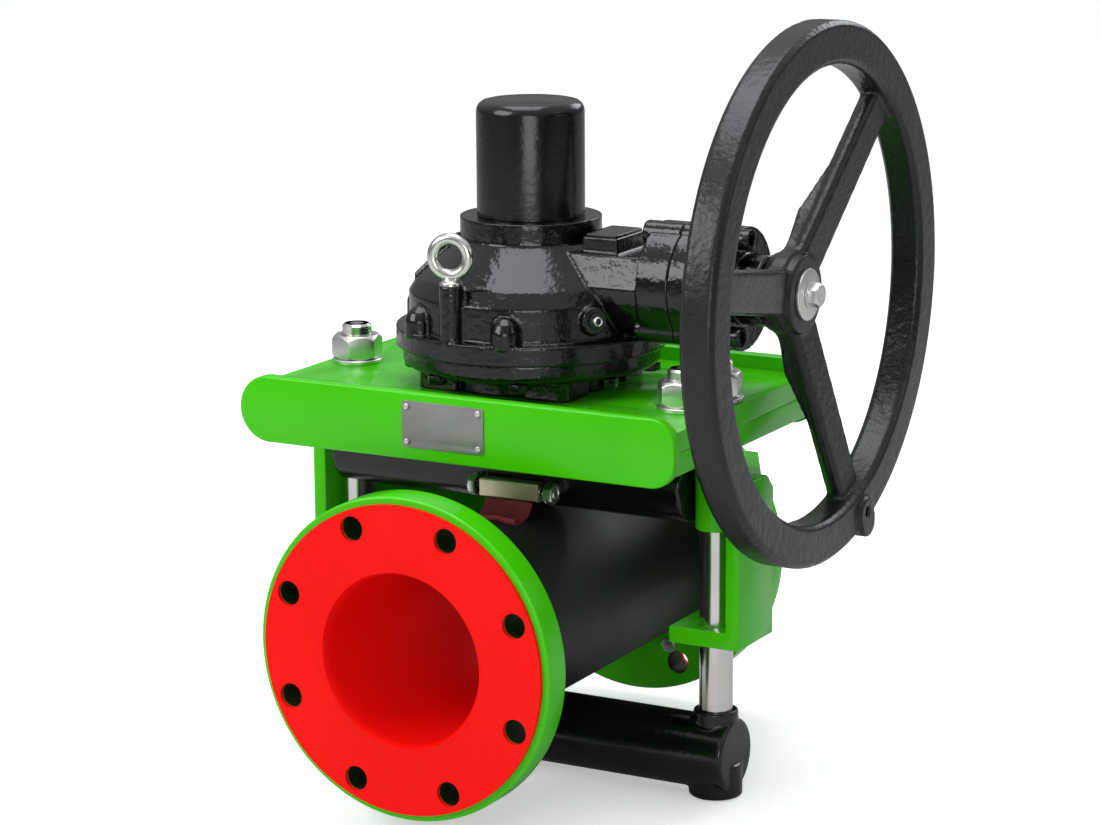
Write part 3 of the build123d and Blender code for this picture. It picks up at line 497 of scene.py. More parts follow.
maroon_cloth = rubber(
    "maroon_strap_cloth", dark=(0.18, 0.015, 0.024), light=(0.26, 0.024, 0.036), rough=(0.6, 0.75),
    peel=900.0, strength=0.5, depth=0.0005, gloss=0.4)
rod_steel = bright_metal(
    "polished_rod_steel", dark=(0.60, 0.57, 0.54), light=(0.72, 0.69, 0.65), rough=(0.12, 0.20),
    stretch=(1.0, 1.0, 14.0), fine=260.0, strength=0.03, depth=0.0002)
eye_steel = bright_metal(
    "polished_eye_steel", dark=(0.60, 0.59, 0.55), light=(0.70, 0.69, 0.65), rough=(0.14, 0.24),
    stretch=(1.0, 1.0, 1.0), fine=180.0, strength=0.06, depth=0.0003)
zinc_steel = bright_metal(
    "bright_zinc_steel", dark=(0.58, 0.58, 0.55), light=(0.76, 0.76, 0.72), rough=(0.28, 0.40),
    stretch=(6.0, 1.0, 1.0), fine=300.0, strength=0.08, depth=0.0003)
gold_zinc = bright_metal(
    "yellow_zinc_steel", dark=(0.66, 0.57, 0.38), light=(0.80, 0.72, 0.52), rough=(0.34, 0.48),
    stretch=(1.0, 14.0, 14.0), fine=260.0, strength=0.12, depth=0.0003)
label_alloy = bright_metal(
    "satin_label_alloy", dark=(0.27, 0.26, 0.25), light=(0.37, 0.36, 0.35), rough=(0.36, 0.46),
    stretch=(1.0, 1.0, 16.0), fine=300.0, strength=0.05, depth=0.0002)
bronze = bright_metal(
    "bearing_bronze", dark=(0.36, 0.22, 0.09), light=(0.48, 0.32, 0.15), rough=(0.28, 0.42),
    stretch=(10.0, 10.0, 1.0), fine=220.0, strength=0.08, depth=0.0003)
gear_steel = bright_metal(
    "oiled_gear_steel", dark=(0.30, 0.29, 0.27), light=(0.42, 0.41, 0.38), rough=(0.24, 0.38),
    stretch=(1.0, 1.0, 10.0), fine=220.0, strength=0.1, depth=0.0004)


def make_sleeve_black():
    """Rubber cured under cloth wraps: shallow overlapping turns round the pipe."""
    mat, tree, bsdf = new_finish("black_sleeve_rubber")
    coord = tree.nodes.new("ShaderNodeTexCoord")
    turn = tree.nodes.new("ShaderNodeMapping")    # the wraps lie a little askew
    turn.inputs["Rotation"].default_value = (math.radians(3.0), 0.0, math.radians(5.0))
    tree.links.new(coord.outputs["Object"], turn.inputs["Vector"])
    wave = tree.nodes.new("ShaderNodeTexWave")
    wave.wave_type = "BANDS"
    wave.bands_direction = "Y"
    wave.wave_profile = "SAW"
    wave.inputs["Scale"].default_value = 4.4
    wave.inputs["Distortion"].default_value = 0.6
    wave.inputs["Detail"].default_value = 1.0
    wave.inputs["Detail Scale"].default_value = 2.0
    tree.links.new(turn.outputs["Vector"], wave.inputs["Vector"])
    skin = place_skin(tree, 480.0, 90.0, 0.4)
    mix = tree.nodes.new("ShaderNodeMix")
    mix.inputs["Factor"].default_value = 0.3
    tree.links.new(wave.outputs["Fac"], mix.inputs["A"])
    tree.links.new(skin.outputs["Height"], mix.inputs["B"])
    tree.links.new(tone(tree, skin.outputs["Mottle"], (0.013, 0.013, 0.0135), (0.022, 0.022, 0.0225)),
                   bsdf.inputs["Base Color"])
    tree.links.new(spread(tree, skin.outputs["Mottle"], 0.50, 0.62), bsdf.inputs["Roughness"])
    relief(tree, bsdf, mix.outputs["Result"], 0.4, 0.0008)
    bsdf.inputs["Specular IOR Level"].default_value = 0.4
    return mat


sleeve_black = make_sleeve_black()

finish_of = {
    "green_paint": lime_paint, "black_paint": bar_black, "black_cast": cast_black,
    "wheel_black": wheel_black, "red_rubber": red_rubber, "black_rubber": sleeve_black,
    "maroon_rubber": maroon_cloth,
    "polished_steel": rod_steel, "zinc_steel": zinc_steel, "yellow_zinc": gold_zinc, "bronze": bronze,
    "label_metal": label_alloy}
for part in frame["record"]["subparts"]:
    cad_node = nodes[part["node"]]
    cad_node.data.materials.clear()
    cad_node.data.materials.append(finish_of[part["material_slot"]])
for gear in ("crown_gear", "bevel_pinion"):
    nodes[gear].data.materials.clear()
    nodes[gear].data.materials.append(gear_steel)

# ------------------------------------------------------------------ green steelwork
for node_name, body, width in (
        ("front_flange", "body_frame", 0.0012), ("rear_flange", "body_frame", 0.0012),
        ("left_bracket", "body_frame", 0.0015), ("right_bracket", "body_frame", 0.0015),
        ("top_plate", "yoke", 0.0015), ("front_beam", "yoke", 0.0022), ("rear_beam", "yoke", 0.0022),
        ("side_bars", "yoke", 0.0015)):
    eased(node_name, node_name + "_painted", width, lime_paint, body)

BOLT_CIRCLE_R, BOLT_HOLE_R = 0.120, 0.011
HOLES = 8
FIRST_HOLE, HOLE_STEP = 22.5, 45.0      # degrees round the flange
HOLE_WALL = 0.0004                      # past the hole's radius, what still counts as its wall
ALONG_PIPE = 0.3                        # a wall's normal has less of Y than this
# the bolt holes' walls take the second slot, the painted shade
for node_name in ("front_flange", "rear_flange"):
    flange = bpy.data.objects[node_name + "_painted"]
    flange.data.materials.append(hole_shade_paint)
    for face in flange.data.polygons:
        for hole in range(HOLES):
            hole_a = math.radians(FIRST_HOLE + HOLE_STEP * hole)
            dx = face.center.x - BOLT_CIRCLE_R * math.cos(hole_a)
            dz = face.center.z - BOLT_CIRCLE_R * math.sin(hole_a)
            if math.hypot(dx, dz) < BOLT_HOLE_R + HOLE_WALL and abs(face.normal.y) < ALONG_PIPE:
                face.material_index = 1

WEB_SIZE = (0.012, 0.185, 0.100)        # thick, long, tall
WEB_X, WEB_Y, WEB_Z = 0.163, 0.122, 0.056
WEB_TURN = math.radians(27.0)
WEB_FRONT, WEB_REAR = 0.0435, 0.2005    # Y of the bracket's wall and of the rear flange


def bracket_web(name, side):
    """An upright plate between a bracket's wall and the rear flange; side is -1 on the left."""
    clear_selection()
    bpy.ops.mesh.primitive_cube_add(size=1.0)
    web = bpy.context.object
    web.scale = WEB_SIZE
    web.rotation_euler = (0.0, 0.0, side * WEB_TURN)
    web.location = (side * WEB_X, WEB_Y, WEB_Z)
    settle(web)
    edit_all()
    for end_y, away in ((WEB_REAR, 1.0), (WEB_FRONT, -1.0)):
        bpy.ops.mesh.select_all(action="SELECT")
        bpy.ops.mesh.bisect(plane_co=(0.0, end_y, 0.0), plane_no=(0.0, away, 0.0),
                            clear_outer=True, use_fill=True)
    leave_edit()
    outward(web)
    soft_edges(web, 0.0012)
    smooth(web, 30.0)
    finish_piece(web, name, lime_paint, "body_frame")


bracket_web("left_bracket_web", -1.0)
bracket_web("right_bracket_web", 1.0)

# ------------------------------------------------------------------ black castings
cast_skin("gearbox_housing", "gearbox_housing_cast", 0.0017, 2, cast_black, "yoke")
cast_skin("gearbox_base", "gearbox_base_cast", 0.0019, 2, cast_black, "yoke")
cast_skin("input_cover", "input_cover_cast", 0.0016, 2, cast_black, "yoke")
low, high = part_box("wheel_washer")
axle_z = (low[2] + high[2]) / 2
SPOKE_ANGLES = (80.0, -40.0, -160.0)
FAIRING_SIZE = (0.014, 0.034, 0.062)
FAIRING_PLACE = (0.2505, 0.0, 0.104)    # from the axle, on a spoke that points up
FAIRING_TIP = (0.4, 0.6, 1.0)           # its outer end, as a share of its inner end
FAIRING_LEAN = 0.010                    # its outer end stands this far out along the axle


def spoke_fairing(spoke_angle):
    """A taper from the wheel's star web onto one spoke."""
    clear_selection()
    bpy.ops.mesh.primitive_cube_add(size=1.0)
    fairing = bpy.context.object
    fairing.scale = FAIRING_SIZE
    fairing.location = FAIRING_PLACE
    settle(fairing)
    bpy.ops.object.mode_set(mode="EDIT")
    bpy.ops.mesh.select_mode(type="FACE")
    bpy.ops.mesh.select_all(action="DESELECT")
    leave_edit()
    for face in fairing.data.polygons:
        face.select = face.normal.z > 0.9
    bpy.ops.object.mode_set(mode="EDIT")
    bpy.ops.transform.resize(value=FAIRING_TIP)
    bpy.ops.transform.translate(value=(FAIRING_LEAN, 0.0, 0.0))
    leave_edit()
    fairing.rotation_euler = (math.radians(spoke_angle), 0.0, 0.0)
    fairing.location = (0.0, 0.0, axle_z)
    settle(fairing)
    return fairing


fairings = [spoke_fairing(spoke_angle) for spoke_angle in SPOKE_ANGLES]
cast_skin("handwheel", "handwheel_cast", 0.0021, 4, wheel_black, "wheel", fairings)
cast_skin("upper_pinch_bar", "upper_bar_painted", 0.0020, 2, bar_black, "upper_bar")
for node_name in ("pad_lid", "input_bolts", "housing_bolts"):
    eased(node_name, node_name + "_eased", 0.0008, cast_black, "yoke")

FOOT_R, FOOT_TALL, FOOT_EDGE = 0.0240, 0.030, 0.0015
FOOT_DROP = 0.0003      # the foot covers the rod's end by this
rod_end_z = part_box("guide_rod_left")[0][2]
lower_bar = merged_copy("lower_pinch_bar", "lower_bar_painted")
for rod_x in (-ROD_X, ROD_X):
    foot = turned("bar_foot", [
        (0.0, 0.0), (0.0225, 0.0), (FOOT_R, FOOT_EDGE), (FOOT_R, FOOT_TALL), (0.0, FOOT_TALL)],
        UP, (rod_x, 0.0, rod_end_z - FOOT_DROP), 48)
    cut(lower_bar, foot, "UNION")
remould(lower_bar, 0.0018, 5)
finish_piece(lower_bar, "lower_bar_painted", bar_black, "yoke")
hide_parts("lower_pinch_bar")
for node_name, width, body, slot in (
        ("clamp_block", 0.0008, "upper_bar", "yellow_zinc"),
        ("flange_screws", 0.0006, "body_frame", "zinc_steel"),
        ("base_bolts", 0.0006, "yoke", "zinc_steel"),
        ("wheel_washer", 0.0007, "wheel", "zinc_steel"),
        ("nameplate", 0.0003, "yoke", "label_metal"),
        ("nameplate_screws", 0.0004, "yoke", "zinc_steel")):
    eased(node_name, node_name + "_eased", width, finish_of[slot], body)

# ------------------------------------------------------------------ spindle cover
low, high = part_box("stem_cover")
cover_r = (high[0] - low[0]) / 2
cover_x, cover_y = (high[0] + low[0]) / 2, (high[1] + low[1]) / 2
tall = high[2] - low[2]
WALL = 0.005
cover = turned("spindle_cover_drawn", [
    (cover_r - WALL, 0.0), (cover_r - 0.0006, 0.0), (cover_r, 0.0006), (cover_r, tall - 0.0100),
    (cover_r - 0.0007, tall - 0.0064), (cover_r - 0.0025, tall - 0.0032),
    (cover_r - 0.0056, tall - 0.0009), (cover_r - 0.0095, tall), (cover_r - 0.0130, tall - 0.0005),
    (cover_r - 0.0165, tall - 0.0015), (0.0, tall - 0.0017), (0.0, tall - 0.0017 - WALL),
    (cover_r - 0.012, tall - WALL - 0.0016), (cover_r - WALL, tall - 0.0120), (cover_r - WALL, 0.0)],
    UP, (cover_x, cover_y, low[2]), 96)
smooth(cover, 40.0)
finish_piece(cover, "spindle_cover_drawn", bar_black, "yoke")
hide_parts("stem_cover")

# ------------------------------------------------------------------ lifting eye
low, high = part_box("eye_bolt")
EYE_RING_R, EYE_WIRE_R = 0.016, 0.0052
EYE_X, EYE_Y = -0.019, -0.109
EYE_DROP = 0.0212       # from the top of the eye to the middle of its ring
SEAT_DROP = 0.025       # from there to the collar's underside
EYE_TURN = math.radians(12.0)
eye_z = high[2] - EYE_DROP
clear_selection()
bpy.ops.mesh.primitive_torus_add(
    major_segments=64, minor_segments=24, major_radius=EYE_RING_R, minor_radius=EYE_WIRE_R,
    location=(EYE_X, EYE_Y, eye_z), rotation=(math.pi / 2, 0.0, EYE_TURN))
eye = bpy.context.object
settle(eye)
shank = turned("eye_shank", [
    (0.0, -0.027), (0.0040, -0.027), (0.0048, -0.026), (0.0048, 0.0), (0.0095, 0.0), (0.0100, 0.0005),
    (0.0100, 0.0024), (0.0095, 0.0032), (0.0078, 0.0042), (0.0070, 0.0060), (0.0066, 0.0076),
    (0.0, 0.0076)], UP, (EYE_X, EYE_Y, eye_z - SEAT_DROP), 40)
eye = joined(eye, shank)
smooth(eye, 40.0)
finish_piece(eye, "lifting_eye_forged", eye_steel, "yoke")
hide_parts("eye_bolt")


# ------------------------------------------------------------------ nuts, studs and washers
def hex_nut(name, across, tall, bore, place, axis=UP, turn=0.0, both_ends=True):
    """A nut with its corners turned off, so each flat ends in an arc."""
    clear_selection()
    bpy.ops.mesh.primitive_cylinder_add(
        vertices=6, radius=across / 2 / math.cos(math.pi / 6), depth=tall, location=(0, 0, tall / 2),
        rotation=(0, 0, turn))
    nut = bpy.context.object
    settle(nut)
    r = across / 2
    wide = r * 1.3      # clear of the corners
    foot = 0.17 * across if both_ends else 0.0
    shoulder = tall - 0.19 * across
    form = turned("nut_form", [
        (0.0, 0.0), (r * 0.97 if both_ends else wide, 0.0), (wide, foot), (wide, shoulder),
        (r * 0.95, tall), (0.0, tall)], UP, (0, 0, 0), 72)
    cut(nut, form, "INTERSECT")
    hole = turned("nut_hole", [
        (0.0, -0.001), (bore + 0.0014, -0.001), (bore, 0.0012), (bore, tall - 0.0014),
        (bore + 0.0016, tall + 0.001), (0.0, tall + 0.001)], UP, (0, 0, 0), 48)
    cut(nut, hole)
    soft_edges(nut, 0.00035, 28.0, 2)
    smooth(nut, 30.0)
    stand(nut, axis, place)
    nut.name = name
    return nut


TIP_TALL, DIMPLE = 0.0016, 0.0012       # a stud's eased tip, and the hollow in its end


def thread(name, radius, depth, pitch, top, place):
    """Turned thread crests from a place up, ending in an eased tip."""
    root = radius - depth
    outline = [(0.0, 0.0), (root, 0.0)]
    z = 0.0
    while z + pitch < top - TIP_TALL:
        outline.append((radius, z + pitch * 0.45))
        outline.append((radius, z + pitch * 0.58))
        outline.append((root, z + pitch))
        z += pitch
    outline += [(root, top - TIP_TALL), (root - TIP_TALL, top), (radius * 0.45, top),
                (radius * 0.36, top - DIMPLE), (0.0, top - DIMPLE)]
    piece = turned(name, outline, UP, place, 56)
    smooth(piece, 25.0)
    return piece


wash_low, wash_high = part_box("rod_washers")
nut_low, nut_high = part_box("rod_nuts")
stud_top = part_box("guide_rod_left")[1][2]
nut_tall = nut_high[2] - nut_low[2]
washer_tall = wash_high[2] - wash_low[2]
NUT_ACROSS = 0.041
STUD_HOLE_R, STUD_R = 0.0136, 0.01354
THREAD_DEPTH, THREAD_PITCH = 0.0009, 0.003
THREAD_IN_NUT = 0.0100      # how far down inside its nut the modelled thread begins
STUDS = (   # name, X, Y, turn of its nut in degrees, finish and slot of its end
    ("left", -ROD_X, 0.0, 12.0, rod_steel, "polished_steel"),
    ("right", ROD_X, 0.0, 12.0, rod_steel, "polished_steel"),
    ("front", ROD_X - 0.010, -0.047, 35.0, zinc_steel, "zinc_steel"))
for word, stud_x, stud_y, nut_turn, steel, steel_slot in STUDS:
    nut = hex_nut("plate_nut_" + word, NUT_ACROSS, nut_tall, STUD_HOLE_R, (stud_x, stud_y, nut_low[2]),
                  turn=math.radians(nut_turn))
    finish_piece(nut, "plate_nut_" + word, zinc_steel, "yoke")
    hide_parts("rod_nuts")
    washer = turned("plate_washer_" + word, [
        (STUD_HOLE_R, 0.0), (0.0226, 0.0), (0.0230, 0.0005), (0.0230, washer_tall - 0.0007),
        (0.0224, washer_tall), (0.0140, washer_tall), (STUD_HOLE_R, washer_tall - 0.0004),
        (STUD_HOLE_R, 0.0)], UP, (stud_x, stud_y, wash_low[2]), 64)
    smooth(washer, 35.0)
    finish_piece(washer, "plate_washer_" + word, zinc_steel, "yoke")
    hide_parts("rod_washers")
    tip = thread("stud_thread_" + word, STUD_R, THREAD_DEPTH, THREAD_PITCH,
                 stud_top - nut_high[2] + THREAD_IN_NUT, (stud_x, stud_y, nut_high[2] - THREAD_IN_NUT))
    finish_piece(tip, "stud_thread_" + word, steel, "yoke")

# ------------------------------------------------------------------ handwheel screw
low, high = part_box("wheel_bolt")
axle_z = (low[2] + high[2]) / 2
length = high[0] - low[0]
seat = (low[0], 0.0, axle_z)
head = hex_nut("wheel_screw_head", 0.019, length, 0.0022, seat, axis=TO_WHEEL, both_ends=False)
plug = turned("screw_middle", [
    (0.0, 0.0), (0.0030, 0.0), (0.0030, length - 0.0008), (0.0, length - 0.0003)], TO_WHEEL, seat, 24)
collar = turned("screw_collar", [
    (0.0, 0.0), (0.0105, 0.0), (0.0110, 0.0004), (0.0110, 0.0014), (0.0104, 0.0018), (0.0, 0.0018)],
    TO_WHEEL, seat, 48)
screw = joined(head, plug, collar)
smooth(screw, 30.0)
finish_piece(screw, "wheel_screw_turned", zinc_steel, "wheel")
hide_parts("wheel_bolt")

# ------------------------------------------------------------------ clamp bolt
low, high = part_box("clamp_bolt")
nut_low, nut_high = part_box("clamp_nut")
pin_y, pin_z = (nut_low[1] + nut_high[1]) / 2, (nut_low[2] + nut_high[2]) / 2
HEAD_TALL = 0.007
PIN_R, PIN_ROOT_R = 0.0048, 0.0040
grip = high[0] - low[0]
head_seat = (low[0] + HEAD_TALL, pin_y, pin_z)
head = hex_nut("clamp_head", 0.017, HEAD_TALL, 0.001, head_seat, axis=FROM_WHEEL, both_ends=False)
face = turned("clamp_head_face", [(0.0, 0.0), (0.004, 0.0), (0.004, 0.0066), (0.0, 0.0068)],
              FROM_WHEEL, head_seat, 24)
nut = hex_nut("clamp_nut_hex", 0.018, 0.009, 0.0050, (nut_low[0], pin_y, pin_z), axis=TO_WHEEL)
pin = turned("clamp_thread", [
    (0.0, 0.0), (PIN_R, 0.0), (PIN_R, nut_low[0] - low[0] + 0.002), (PIN_R, grip - 0.0092),
    (PIN_ROOT_R, grip - 0.0085), (PIN_R, grip - 0.0078), (PIN_ROOT_R, grip - 0.0071),
    (PIN_R, grip - 0.0064), (0.0036, grip - 0.0052), (0.0, grip - 0.0050)],
    TO_WHEEL, (low[0] + 0.0005, pin_y, pin_z), 40)
bolt = joined(head, face, pin)
smooth(bolt, 30.0)
finish_piece(bolt, "clamp_bolt_turned", zinc_steel, "upper_bar")
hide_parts("clamp_bolt")
finish_piece(nut, "clamp_nut_turned", zinc_steel, "upper_bar")
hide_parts("clamp_nut")

# ------------------------------------------------------------------ strap
low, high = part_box("strap")
STRAP_INSET = 0.0015        # from each side of the strap's solid
STRAP_THICK = 0.0024
STRAP_WAY = (   # steps in Y and Z from its hanging edge, up and back over the tube
    (-0.001, -0.003), (-0.0035, -0.0035), (-0.005, -0.003), (-0.006, -0.0016), (-0.006, -0.0006),
    (-0.005, 0.0), (-0.0035, 0.0004), (-0.0014, 0.0010), (0.0, 0.0016), (0.0012, 0.0014))
STRIPS = 24
strap = start_point((low[0] + STRAP_INSET, high[1] - 0.008, high[2] - 0.0006))
for dy, dz in STRAP_WAY:
    bpy.ops.mesh.extrude_vertices_move(TRANSFORM_OT_translate={"value": (0.0, dy, dz)})
bpy.ops.mesh.select_all(action="SELECT")
strip = (high[0] - low[0] - 2 * STRAP_INSET) / STRIPS
for k in range(STRIPS):
    bpy.ops.mesh.extrude_edges_move(TRANSFORM_OT_translate={"value": (strip, 0.0, 0.0)})
leave_edit()
strap_top = max(v.co.z for v in strap.data.vertices)
strap_deep = strap_top - min(v.co.z for v in strap.data.vertices)
for v in strap.data.vertices:   # the lower it hangs, the more it follows the tube and ripples
    share = (strap_top - v.co.z) / strap_deep
    fall = SLEEVE_R - math.sqrt(SLEEVE_R ** 2 - v.co.x ** 2)
    v.co.z -= share * (fall * 0.8) - 0.0006 * share * math.sin(v.co.x * 310.0)
    v.co.y -= share * 0.0012 * math.cos(v.co.x * 140.0 + 1.0)
outward(strap)
cloth = strap.modifiers.new("cloth_thickness", "SOLIDIFY")
cloth.thickness = STRAP_THICK
cloth.offset = 0.0
apply_all(strap)
soft_edges(strap, 0.0006, 40.0, 2)
smooth(strap, 50.0)
finish_piece(strap, "strap_folded", maroon_cloth, "upper_bar")
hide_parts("strap")

# ------------------------------------------------------------------ grease nipple
low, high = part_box("grease_nipple")
NIPPLE_TURN = math.radians(-33.0)       # round the gearbox, from the wheel's side
NIPPLE_R = 0.117                        # from the gearbox's axis
nipple_way = Vector((math.cos(NIPPLE_TURN), math.sin(NIPPLE_TURN), 0.0))
nipple_spot = nipple_way * NIPPLE_R
nipple_place = (nipple_spot.x, nipple_spot.y, (low[2] + high[2]) / 2)
nipple_seat = turned("nipple_seat", [
    (0.0, 0.0), (0.0068, 0.0), (0.0072, 0.0004), (0.0072, 0.0018), (0.0066, 0.0024), (0.0046, 0.0024),
    (0.0020, 0.0020), (0.0020, 0.0034), (0.0012, 0.0040), (0.0, 0.0040)], nipple_way, nipple_place, 40)
nipple_ring = turned("grease_nipple_ring", [
    (0.0024, 0.0010), (0.0044, 0.0010), (0.0044, 0.0048), (0.0040, 0.0056), (0.0034, 0.0059),
    (0.0028, 0.0055), (0.0024, 0.0046), (0.0024, 0.0010)], nipple_way, nipple_place, 40)
for piece, name, finish, slot in (
        (nipple_seat, "nipple_seat", cast_black, "black_cast"),
        (nipple_ring, "grease_nipple_ring", zinc_steel, "zinc_steel")):
    smooth(piece, 35.0)
    finish_piece(piece, name, finish, "yoke")
    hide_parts("grease_nipple")


# ------------------------------------------------------------------ sleeve
ALONG_CUTS, ROUND_STEPS = 47, 56


def sleeve_quarter(name, inner, outer, half_len, front, upper, material, flare=0.0):
    """One quarter of the rubber tube, upper or lower and front or rear."""
    side = -1.0 if front else 1.0
    lift = 1.0 if upper else -1.0
    clear_selection()
    bpy.ops.mesh.primitive_plane_add(size=1.0)
    piece = bpy.context.object
    piece.scale = (outer - inner, half_len, 1.0)
    piece.location = ((inner + outer) / 2, side * half_len / 2, 0.0)
    settle(piece)
    edit_all()
    bpy.ops.mesh.select_mode(type="EDGE")
    bpy.ops.mesh.select_all(action="DESELECT")
    leave_edit()
    for edge in piece.data.edges:
        a, b = (piece.data.vertices[i].co for i in edge.vertices)
        edge.select = abs(a.x - b.x) < TOUCHING
    bpy.ops.object.mode_set(mode="EDIT")
    bpy.ops.mesh.subdivide(number_cuts=ALONG_CUTS)
    if flare:
        bpy.ops.mesh.select_all(action="DESELECT")
        bpy.ops.mesh.select_mode(type="VERT")
        leave_edit()
        for v in piece.data.vertices:
            at_mouth = abs(v.co.y - side * half_len) < TOUCHING
            v.select = at_mouth and abs(v.co.x - inner) < TOUCHING
        bpy.ops.object.mode_set(mode="EDIT")
        bpy.ops.transform.translate(value=(flare, 0.0, 0.0))
    bpy.ops.mesh.select_mode(type="FACE")
    bpy.ops.mesh.select_all(action="SELECT")
    bpy.ops.mesh.spin(steps=ROUND_STEPS, angle=lift * math.pi, center=(0, 0, 0), axis=(0, 1, 0))
    leave_edit()
    outward(piece)
    smooth(piece, 40.0)
    finish_piece(piece, name, material, None)
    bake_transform(piece)
    return piece


for front in (True, False):
    for upper in (True, False):
        tag = ("front" if front else "rear") + ("_upper" if upper else "_lower")
        cover_quarter = sleeve_quarter(
            "sleeve_cover_" + tag, LINER_R + SKIN_GAP, SLEEVE_R, HALF_LENGTH - FACE_RING,
            front, upper, sleeve_black)
        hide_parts("sleeve_cover")
        liner_quarter = sleeve_quarter(
            "sleeve_liner_" + tag, BORE_R, LINER_R, HALF_LENGTH,
            front, upper, red_rubber, MOUTH_FLARE)
        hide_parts("sleeve_liner")

# ------------------------------------------------------------------ studio
# floor and sky are paler to the camera than to reflections, so that black finishes stay dark
FLOOR_SIDE, FLOOR_GAP = 40.0, 0.0005
FLOOR_TO_REFLECTIONS = (0.62, 0.62, 0.62, 1.0)
FLOOR_TO_CAMERA = (0.96, 0.96, 0.96, 1.0)
FLOOR_GLOW = 0.40
clear_selection()
bpy.ops.mesh.primitive_plane_add(size=FLOOR_SIDE, location=(0.0, 0.0, cad_low[2] - FLOOR_GAP))
floor = bpy.context.object
floor.name = "studio_floor"
settle(floor)
floor_mat, floor_tree, floor_bsdf = new_finish("pale_floor")
seen = floor_tree.nodes.new("ShaderNodeLightPath")
pale = floor_tree.nodes.new("ShaderNodeMix")
pale.data_type = "RGBA"
pale.inputs["A"].default_value = FLOOR_TO_REFLECTIONS
pale.inputs["B"].default_value = FLOOR_TO_CAMERA
floor_tree.links.new(seen.outputs["Is Camera Ray"], pale.inputs["Factor"])
floor_tree.links.new(pale.outputs["Result"], floor_bsdf.inputs["Base Color"])
glow = floor_tree.nodes.new("ShaderNodeMath")
glow.operation = "MULTIPLY"
glow.inputs[1].default_value = FLOOR_GLOW
floor_tree.links.new(seen.outputs["Is Camera Ray"], glow.inputs[0])
floor_bsdf.inputs["Emission Color"].default_value = (1.0, 1.0, 1.0, 1.0)
floor_tree.links.new(glow.outputs[0], floor_bsdf.inputs["Emission Strength"])
floor_bsdf.inputs["Roughness"].default_value = 0.9
floor_bsdf.inputs["Specular IOR Level"].default_value = 0.1
floor.data.materials.append(floor_mat)

SKY_LOW, SKY_HIGH = (0.22, 0.22, 0.23, 1.0), (0.95, 0.97, 1.0, 1.0)
SKY_TO_CAMERA = (1.32, 1.32, 1.32, 1.0)
SKY_STRENGTH = 0.75
world = bpy.data.worlds.new("studio_world")
bpy.context.scene.world = world
world.use_nodes = True
sky = world.node_tree
sky_coord = sky.nodes.new("ShaderNodeTexCoord")
sky_split = sky.nodes.new("ShaderNodeSeparateXYZ")
sky_fade = sky.nodes.new("ShaderNodeValToRGB")
sky_fade.color_ramp.elements[0].position = 0.05
sky_fade.color_ramp.elements[0].color = SKY_LOW
sky_fade.color_ramp.elements[1].position = 0.75
sky_fade.color_ramp.elements[1].color = SKY_HIGH
sky.links.new(sky_coord.outputs["Generated"], sky_split.inputs["Vector"])
sky.links.new(sky_split.outputs["Z"], sky_fade.inputs["Fac"])
sky_seen = sky.nodes.new("ShaderNodeLightPath")
sky_pale = sky.nodes.new("ShaderNodeMix")
sky_pale.data_type = "RGBA"
sky_pale.inputs["B"].default_value = SKY_TO_CAMERA
sky.links.new(sky_seen.outputs["Is Camera Ray"], sky_pale.inputs["Factor"])
sky.links.new(sky_fade.outputs["Color"], sky_pale.inputs["A"])
sky.links.new(sky_pale.outputs["Result"], sky.nodes["Background"].inputs["Color"])
sky.nodes["Background"].inputs["Strength"].default_value = SKY_STRENGTH


WHITE, COOL = (1.0, 1.0, 1.0), (0.93, 0.96, 1.0)


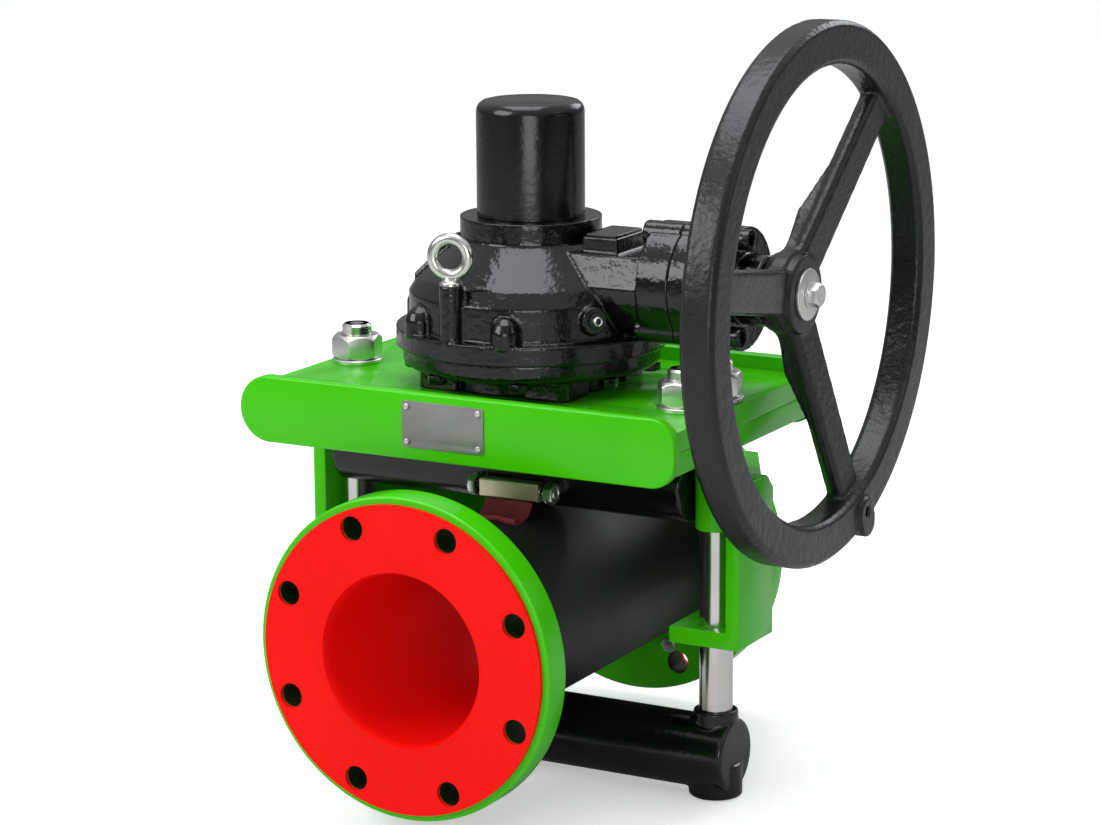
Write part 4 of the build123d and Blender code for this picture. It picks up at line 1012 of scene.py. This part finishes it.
def softbox(name, place, target, size_x, size_y, radiance, tint=WHITE):
    """A rectangular lamp of an even brightness, whatever its size."""
    lamp = bpy.data.lights.new(name, "AREA")
    lamp.shape = "RECTANGLE"
    lamp.size = size_x
    lamp.size_y = size_y
    lamp.energy = radiance * math.pi * size_x * size_y
    lamp.color = tint
    obj = bpy.data.objects.new(name, lamp)
    bpy.context.collection.objects.link(obj)
    obj.location = place
    obj.rotation_mode = "QUATERNION"
    obj.rotation_quaternion = (Vector(target) - Vector(place)).to_track_quat("-Z", "Y")


softbox("key_light", (-1.3, -1.9, 1.5), (0.0, -0.1, 0.05), 1.6, 1.2, 5.0)
softbox("front_light", (1.2, -2.4, 0.5), (0.0, -0.2, 0.0), 1.2, 0.9, 3.4)
softbox("top_light", (-0.2, -0.1, 2.3), (0.0, 0.0, 0.2), 1.7, 1.4, 3.6, COOL)
softbox("side_light", (2.5, 0.1, 1.2), (0.2, 0.0, 0.1), 0.5, 0.9, 1.6)
softbox("rear_light", (0.5, 2.3, 1.5), (0.0, 0.0, 0.2), 1.4, 0.9, 3.2, COOL)
bpy.context.scene.view_settings.view_transform = "Standard"

# ------------------------------------------------------------------ camera
FOCAL, FRAME_WIDTH = 3300.0, 1100.0     # in one unit, so their ratio sets the lens
SENSOR = 36.0
AZ, EL, ROLL = math.radians(28.733), math.radians(12.513), math.radians(-0.352)
ACROSS, RAISED, REACH = 0.014661, 0.165939, 2.997676    # from the bore's centre, in metres
back = Vector((math.sin(AZ) * math.cos(EL), -math.cos(AZ) * math.cos(EL), math.sin(EL)))
level_right = Vector((math.cos(AZ), math.sin(AZ), 0.0))
level_up = back.cross(level_right)
right = level_right * math.cos(ROLL) + level_up * math.sin(ROLL)
up = level_up * math.cos(ROLL) - level_right * math.sin(ROLL)
cam_data = bpy.data.cameras.new("view_camera")
cam_data.sensor_width = SENSOR
cam_data.lens = FOCAL / FRAME_WIDTH * SENSOR
cam_data.clip_start = 0.05
cam_data.clip_end = 60.0
camera = bpy.data.objects.new("view_camera", cam_data)
bpy.context.collection.objects.link(camera)
spot = right * ACROSS + up * RAISED + back * REACH
camera.matrix_world = Matrix((
    (right.x, up.x, back.x, spot.x), (right.y, up.y, back.y, spot.y),
    (right.z, up.z, back.z, spot.z), (0.0, 0.0, 0.0, 1.0)))
bpy.context.scene.camera = camera
